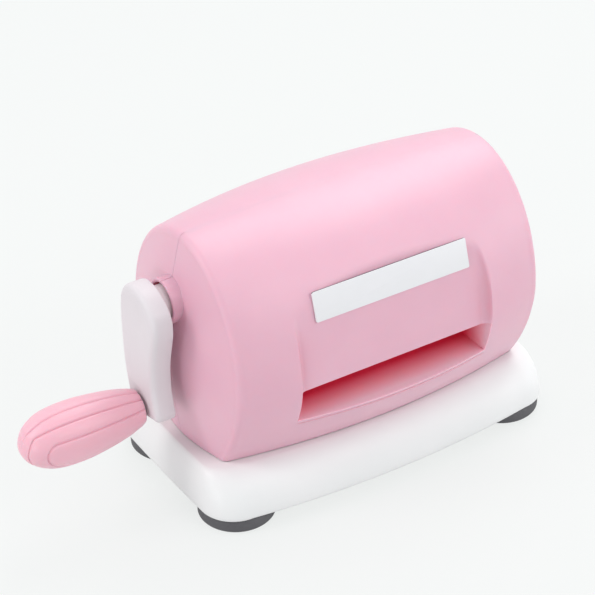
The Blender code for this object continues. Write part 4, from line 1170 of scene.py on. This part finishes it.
bmesh.ops.rotate(name_shape, cent=(0, 0, 0), matrix=lean_back, verts=name_shape.verts)
away = NAME_THICK / 2 + GAP
name_x = NAME_LEFT + NAME_LENGTH / 2 + MACHINE_X
name_y = -panel_limit(0, NAME_Z) - away * math.cos(lean)
name_place = (name_x, name_y, NAME_Z + away * math.sin(lean))
bmesh.ops.translate(name_shape, vec=name_place, verts=name_shape.verts)
name_piece = new_piece("bare_name_plate", name_shape, "machine", PLATE_WHITE)
name_piece.data.materials.append(PLATE_EDGE_SHADOW)
facing = Vector((0, -math.cos(lean), math.sin(lean)))
# The edge faces on the right and along the top get the painted shadow
for face in name_piece.data.polygons:
    on_edge = abs(face.normal.dot(facing)) < EDGE_TURN
    if on_edge and (face.normal.x > EDGE_TURN or face.normal.z > EDGE_TURN):
        face.material_index = 1
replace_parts(name_piece, "name_plate")
print("name plate leans back", round(math.degrees(lean), 1), "degrees")

# %% [markdown]
# ## The crank arm
#
# The arm is one thick moulding with a round head and a narrower foot. Its edge is a smooth curve
# through a few listed points. Rows of that curve, drawn in a little at a time, give the
# soft round edge on its outer face. At a tight corner such a row crosses itself, so its points
# that come too near the edge are put back in line. A collar turns in the hub's pocket.

# %% Crank arm
ARM_INNER = -94.4 * MM
ARM_OUTER = -104.5 * MM
ARM_HEAD = 17.0 * MM
THROW = 50.9 * MM
ARM_EDGE_SHARES = (
    (-0.02, -0.220), (-0.31, -0.204), (-0.55, -0.165), (-0.75, -0.118), (-0.91, -0.063),
    (-1.00, 0.020), (-1.00, 0.128), (-0.92, 0.246), (-0.82, 0.373), (-0.74, 0.501),
    (-0.71, 0.629), (-0.71, 0.737), (-0.76, 0.845), (-0.83, 0.943), (-0.86, 1.008),
    (-0.78, 1.053), (-0.53, 1.069), (-0.24, 1.092), (0.06, 1.106), (0.35, 1.096),
    (0.56, 1.047), (0.68, 0.972), (0.73, 0.904), (0.79, 0.825), (0.85, 0.707),
    (0.90, 0.550), (0.91, 0.393), (0.91, 0.255), (0.89, 0.118), (0.86, 0.010),
    (0.78, -0.086), (0.60, -0.164), (0.31, -0.212),
)


def smooth_loop(points, steps):
    """A smooth closed curve through a few points."""
    count = len(points)
    curve = []
    for index in range(count):
        near = [Vector(points[(index + shift) % count]) for shift in (-1, 0, 1, 2)]
        before, start, end, after = near
        for step in range(steps):
            t = step / steps
            point = 2 * start + (end - before) * t
            point += (2 * before - 5 * start + 4 * end - after) * t * t
            point += (3 * start - before - 3 * end + after) * t * t * t
            curve.append(point / 2)
    return curve


def smoothed(curve, passes):
    """A closed curve with each point moved towards its neighbours, a few times over."""
    count = len(curve)
    for _ in range(passes):
        curve = [
            (curve[i - 1] + 2 * curve[i] + curve[(i + 1) % count]) / 4 for i in range(count)
        ]
    return curve


arm_points = [(across * ARM_HEAD, -down * THROW) for across, down in ARM_EDGE_SHARES]
arm_curve = smoothed(smooth_loop(arm_points, 8), 3)
arm_count = len(arm_curve)
print("arm edge:", arm_count, "points")

# %% [markdown]
# Small rows round off the arm's back edge, and larger ones the edge of its face.

# %% Rows of the arm
ARM_MIDDLE = Vector((0, -0.45 * THROW))
ARM_SOFT = 3.0 * MM
ARM_BACK_SOFT = 0.8 * MM
ARM_BACK_INSET = 2.5 * MM
ARM_FACE_INSET = 4.0 * MM
BACK_ROWS = 4
FRONT_ROWS = 8
LOOP_MARGIN = 0.02 * MM
PASSES_PER_MM = 3


def drawn_in_curve(distance):
    """The arm's curve moved inwards by a distance."""
    moved = []
    for index, point in enumerate(arm_curve):
        along = (arm_curve[(index + 1) % arm_count] - arm_curve[index - 1]).normalized()
        inward = Vector((-along.y, along.x))
        if inward.dot(ARM_MIDDLE - point) < 0:
            inward = -inward
        moved.append(point + inward * distance)
    # A sharp corner leaves a small loop in a curve moved inwards: its points lie too near the edge
    least = distance - LOOP_MARGIN
    clear = [min((point - other).length for other in arm_curve) > least for point in moved]
    for index in range(arm_count):
        if clear[index]:
            continue
        back = next(step for step in range(1, arm_count) if clear[index - step])
        ahead = next(step for step in range(1, arm_count) if clear[(index + step) % arm_count])
        start, end = moved[index - back], moved[(index + ahead) % arm_count]
        moved[index] = start.lerp(end, back / (back + ahead))
    return smoothed(moved, round(distance / MM * PASSES_PER_MM))


arm_rows = [(ARM_INNER, ARM_BACK_INSET)]
for angle in quarter(BACK_ROWS):
    x = ARM_INNER - ARM_BACK_SOFT * (1 - math.cos(angle))
    arm_rows.append((x, ARM_BACK_SOFT * (1 - math.sin(angle))))
for angle in quarter(FRONT_ROWS):
    x = ARM_OUTER + ARM_SOFT * (1 - math.sin(angle))
    arm_rows.append((x, ARM_SOFT * (1 - math.cos(angle))))
arm_rows.append((ARM_OUTER, ARM_FACE_INSET))
arm_levels = [(x, drawn_in_curve(inset)) for x, inset in arm_rows]
print("arm rows:", len(arm_levels))

# %% [markdown]
# The rows become one grid whose two ends are closed, and the collar is spun.

# %% Arm and collar
def arm_place(column, row):
    """Where a corner of the arm's grid goes."""
    x, curve = arm_levels[row]
    point = curve[column % arm_count]
    return Vector((x + MACHINE_X, point.x, CRANK_Z + point.y))


arm_shape = bent_grid(arm_count, len(arm_levels) - 1, arm_place)
bmesh.ops.holes_fill(arm_shape, edges=open_rim(arm_shape), sides=0)
bmesh.ops.recalc_face_normals(arm_shape, faces=arm_shape.faces)
arm = new_piece("crank_arm_moulding", arm_shape, "crank", ARM_GREY, 30)
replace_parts(arm, "crank_arm")

COLLAR_RADIUS = 8.0 * MM
COLLAR_START = ARM_INNER - 0.5 * MM - HUB_X
COLLAR_END = 2.4 * MM
collar_profile = softened(
    [
        (0, COLLAR_START), (COLLAR_RADIUS, COLLAR_START),
        (COLLAR_RADIUS, COLLAR_END), (0, COLLAR_END),
    ],
    0.4 * MM, closed=False,
)
collar = spun(collar_profile, (HUB_X + MACHINE_X, 0, CRANK_Z), "X", 64)
new_piece("arm_collar", collar, "crank", COLLAR_WHITE)
print("arm:", len(arm.data.polygons), "faces")

# %% [markdown]
# ## The grip
#
# The grip swells towards its free end like a seed. Thin grooves draw a long petal on each side,
# with a second line outside it, and a mould line runs over the tip. Each corner of the grid is
# sunk by how near it lies to one of these lines, and the bands between them are slightly crowned.

# %% Grip
GRIP_Z = CRANK_Z - THROW
GRIP_ROOT = -106.1 * MM
GRIP_LENGTH = 59.3 * MM
# Shares of the length from the root, and of the radius, along the grip's side
GRIP_SHARES = (
    (0.0, 0.50), (0.012, 0.61), (0.035, 0.655), (0.07, 0.70), (0.13, 0.775), (0.24, 0.868),
    (0.38, 0.95), (0.52, 1.00), (0.68, 0.985), (0.79, 0.905), (0.875, 0.755), (0.94, 0.56),
    (0.985, 0.285), (1.0, 0.0),
)
GRIP_RADIUS = 14.3 * MM
GRIP_ROUND = 240
GRIP_ROWS = 170
CURVE_STEPS = 24
# Rows crowd a little towards the tip, where the grooves run together
ROW_CROWDING = 1.15
PETAL_TURN = math.radians(188)
# Each line's half angle in degrees, where it closes, and how long its round end is, as shares.
# The last one is the mould line, which has no round end.
PETALS = ((31, 0.856, 0.09), (62, 0.9685, 0.07), (90, 1.0, 0.0))
PETAL_STEPS = 240
GROOVE_DEPTH = 0.8 * MM
GROOVE_WIDTH = 0.42 * MM
CROWN = 0.2 * MM
CROWN_WIDTH = 2.5 * MM
TIP_FADE = 2 * MM


def grip_meridian():
    """Points (distance from the root, radius, length from the tip) along the grip's side."""
    side = [Vector((along * GRIP_LENGTH, share * GRIP_RADIUS)) for along, share in GRIP_SHARES]
    mirrored = [Vector((point.x, -point.y)) for point in reversed(side[:-1])]
    curve = smooth_loop(side + mirrored, CURVE_STEPS)
    from_tip = list(reversed(curve[:CURVE_STEPS * (len(side) - 1) + 1]))
    lengths = [0.0]
    for before, after in zip(from_tip, from_tip[1:]):
        lengths.append(lengths[-1] + (after - before).length)
    sampled = []
    cursor = 0
    for step in range(GRIP_ROWS + 1):
        wanted = lengths[-1] * (step / GRIP_ROWS) ** ROW_CROWDING
        while cursor < len(lengths) - 2 and lengths[cursor + 1] < wanted:
            cursor += 1
        span = lengths[cursor + 1] - lengths[cursor]
        share = min(1, max(0, (wanted - lengths[cursor]) / span))
        point = from_tip[cursor].lerp(from_tip[cursor + 1], share)
        sampled.append((point.x, max(point.y, 0), wanted))
    return sampled


meridian = grip_meridian()
print("grip side:", len(meridian), "rows")

# %% [markdown]
# The grooves are only points in space, close together, in a KD-tree: a search tree that quickly
# finds the point nearest to a place.

# %% Grooves
def radius_at(along):
    """The grip's radius at a distance from its root."""
    for (x, radius, _), (x2, radius2, _) in zip(meridian, meridian[1:]):
        if x2 <= along <= x:
            return radius2 + (radius - radius2) * (along - x2) / max(x - x2, 1e-9)
    return meridian[-1][1] if along < GRIP_LENGTH / 2 else 0.0


def petal_points():
    """Places along the grooves: two petals on each side, and the mould line."""
    points = []
    for half, close, length in PETALS:
        for angle in quarter(PETAL_STEPS):
            share = close * math.sin(angle)
            open_share = 1.0
            if length and share > close - length:
                open_share = math.sqrt(max(0, 1 - ((share - close + length) / length) ** 2))
            along = share * GRIP_LENGTH
            radius = radius_at(along)
            for side in (-1, 1):
                angle = PETAL_TURN + side * math.radians(half) * open_share
                across, upwards = radius * math.cos(angle), radius * math.sin(angle)
                points.append((along, across, upwards))
                if length:
                    points.append((along, -across, upwards))
    return points


groove_points = petal_points()
groove_tree = KDTree(len(groove_points))
for number, point in enumerate(groove_points):
    groove_tree.insert(point, number)
groove_tree.balance()
print("groove points:", len(groove_points))

# %% [markdown]
# The grip is a grid round its axis, and its root is closed as far as the hole for the pin.

# %% Grip and washer
PIN_HOLE_RADIUS = 3.5 * MM
WASHER_RADIUS = 5.6 * MM
WASHER_THICK = 1.0 * MM
WASHER_X = ARM_OUTER - 1.3 * MM


def grip_place(column, row):
    """Where a corner of the grip's grid goes, sunk by the grooves near it."""
    along, radius, length = meridian[row]
    turned = 2 * math.pi * (column % GRIP_ROUND) / GRIP_ROUND
    near = groove_tree.find((along, radius * math.cos(turned), radius * math.sin(turned)))[2]
    fade = min(1, length / TIP_FADE)
    sunk = GROOVE_DEPTH * math.exp(-((near / GROOVE_WIDTH) ** 2)) * fade
    crowned = CROWN * min(1, near / CROWN_WIDTH) * fade
    reach = max(0, radius - sunk + crowned - CROWN * fade)
    x = GRIP_ROOT - along + MACHINE_X
    return Vector((x, reach * math.cos(turned), GRIP_Z + reach * math.sin(turned)))


grip_shape = bent_grid(GRIP_ROUND, len(meridian) - 1, grip_place)
for corner in new_corners(bmesh.ops.extrude_edge_only(grip_shape, edges=open_rim(grip_shape))):
    away = Vector((0, corner.co.y, corner.co.z - GRIP_Z))
    away.length = PIN_HOLE_RADIUS
    corner.co = Vector((GRIP_ROOT + MACHINE_X, away.y, GRIP_Z + away.z))
bmesh.ops.recalc_face_normals(grip_shape, faces=grip_shape.faces)
grip = new_piece("grip_moulding", grip_shape, "grip", GRIP_PINK, 60)
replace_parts(grip, "crank_grip")

washer_profile = softened(
    [
        (WASHER_RADIUS, 0), (WASHER_RADIUS, WASHER_THICK),
        (PIN_HOLE_RADIUS, WASHER_THICK), (PIN_HOLE_RADIUS, 0),
    ],
    0.25 * MM,
)
washer = spun(washer_profile, (WASHER_X + MACHINE_X, 0, GRIP_Z), "X", 64)
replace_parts(new_piece("grip_washer_ring", washer, "crank", WASHER_GREY), "grip_washer")
print("grip:", len(grip.data.polygons), "faces")

# %% [markdown]
# ## The rollers
#
# The rollers show through the slot. Each is one spun sleeve with small chamfers and ground steel.

# %% Rollers
ROLLER_RADIUS = 12.0 * MM
ROLLER_BORE = 4.3 * MM
ROLLER_CHAMFER = 0.6 * MM
ROLLER_HEIGHTS = {"upper": 77.5 * MM, "lower": 41.5 * MM}
low, high = (corner[0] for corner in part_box("upper_roller"))
roller_profile = softened(
    [(ROLLER_RADIUS, low), (ROLLER_RADIUS, high), (ROLLER_BORE, high), (ROLLER_BORE, low)],
    ROLLER_CHAMFER,
)
for which, z in ROLLER_HEIGHTS.items():
    roller = spun(roller_profile, (0, 0, z), "X", 96)
    piece = new_piece(which + "_roller_sleeve", roller, which + "_roller_set", ROLLER_STEEL)
    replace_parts(piece, which + "_roller")
print("rollers:", round((high - low) / MM, 1), "mm long")

# %% [markdown]
# ## Floor and backdrop
#
# The machine stands on a pale sweep with a very faint shadow. Both the floor and the world turn to
# near white only for the rays that show a background: those of the camera, of reflections and of
# clear things. So they add no more light to the machine than they should, and a fifth of the
# floor's own shading, its shadow included, still shows.

# %% Floor and world
FLOOR_SIZE = 6.0
FLOOR_GLOW = 0.8
FILL_STRENGTH = 0.74


def background_rays(tree):
    """A socket that is 1 for the rays that show the background: camera, glossy and transmission."""
    rays = tree.nodes.new("ShaderNodeLightPath").outputs
    total = rays["Is Camera Ray"]
    for kind in ("Is Glossy Ray", "Is Transmission Ray"):
        total = math_node(tree, "ADD", total, rays[kind], clamp=True)
    return total


def show(tree, factor, plain, background, output):
    """Put out one shader, and another in its place as far as the factor goes."""
    blend = tree.nodes.new("ShaderNodeMixShader")
    feed(tree, factor, blend.inputs["Fac"])
    feed(tree, plain, blend.inputs[1])
    feed(tree, background, blend.inputs[2])
    feed(tree, blend.outputs["Shader"], tree.nodes[output].inputs["Surface"])


floor_shape = bmesh.new()
bmesh.ops.create_grid(floor_shape, x_segments=1, y_segments=1, size=FLOOR_SIZE)
floor = linked("floor", mesh_of("floor", floor_shape))
floor_white = bpy.data.materials.new("floor_white")
floor_white.use_nodes = True
tree = floor_white.node_tree
matt = tree.nodes["Principled BSDF"]
matt.inputs["Base Color"].default_value = tint(222, 224, 223)
matt.inputs["Roughness"].default_value = 0.9
matt.inputs["Specular IOR Level"].default_value = 0.1
glow = tree.nodes.new("ShaderNodeEmission")
glow.inputs["Color"].default_value = tint(248, 250, 249)
glow_share = math_node(tree, "MULTIPLY", background_rays(tree), FLOOR_GLOW)
show(tree, glow_share, matt.outputs["BSDF"], glow.outputs["Emission"], "Material Output")
floor.data.materials.append(floor_white)

world = bpy.data.worlds.new("studio")
bpy.context.scene.world = world
world.use_nodes = True
tree = world.node_tree
fill = tree.nodes["Background"]
fill.inputs["Color"].default_value = (0.95, 0.97, 1.0, 1)
fill.inputs["Strength"].default_value = FILL_STRENGTH
seen = tree.nodes.new("ShaderNodeBackground")
seen.inputs["Color"].default_value = (0.94, 0.955, 0.95, 1)
seen.inputs["Strength"].default_value = 1.0
show(tree, background_rays(tree), fill.outputs["Background"], seen.outputs["Background"],
     "World Output")
print("floor", 2 * FLOOR_SIZE, "m across, world fill", FILL_STRENGTH)

# %% [markdown]
# ## Light
#
# Five round lamps light the machine softly. The one overhead gives the light top, two in front
# open up the panel and the right end, the key behind the left lights the arm and the left end,
# and a small low one draws the pale band along the left fillet.

# %% Lamps
HOUSING_AIM = (0.03, 0, 0.06)
LEFT_AIM = (-0.05, 0, 0.08)
# Each lamp's name, place, aim, size in metres and watts
LAMPS = (
    ("overhead", (0.62, 0.4, 1.1), (0.03, 0, 0.08), 0.85, 5.8),
    ("front_high", (0.45, -1.05, 0.95), HOUSING_AIM, 0.6, 3.0),
    ("right_front", (1.3, -0.85, 0.45), HOUSING_AIM, 0.6, 3.2),
    ("left_key", (-1.0, 0.3, 0.95), LEFT_AIM, 0.5, 4.7),
    ("left_strip", (-1.35, -0.5, 0.22), LEFT_AIM, 0.15, 1.9),
)
for name, place, aim, size, watts in LAMPS:
    lamp_data = bpy.data.lights.new(name, "AREA")
    lamp_data.shape = "DISK"
    lamp_data.size = size
    lamp_data.energy = watts
    lamp = linked(name, lamp_data)
    lamp.location = place
    lamp.rotation_euler = (Vector(aim) - Vector(place)).to_track_quat("-Z", "Y").to_euler()
bpy.context.scene.view_settings.view_transform = "Standard"
print("lamps:", len(LAMPS))

# %% [markdown]
# ## The end
#
# At the end the view layer is brought up to date. The visual model has to stay inside the
# imported model's box.

# %% End
bpy.context.view_layer.update()
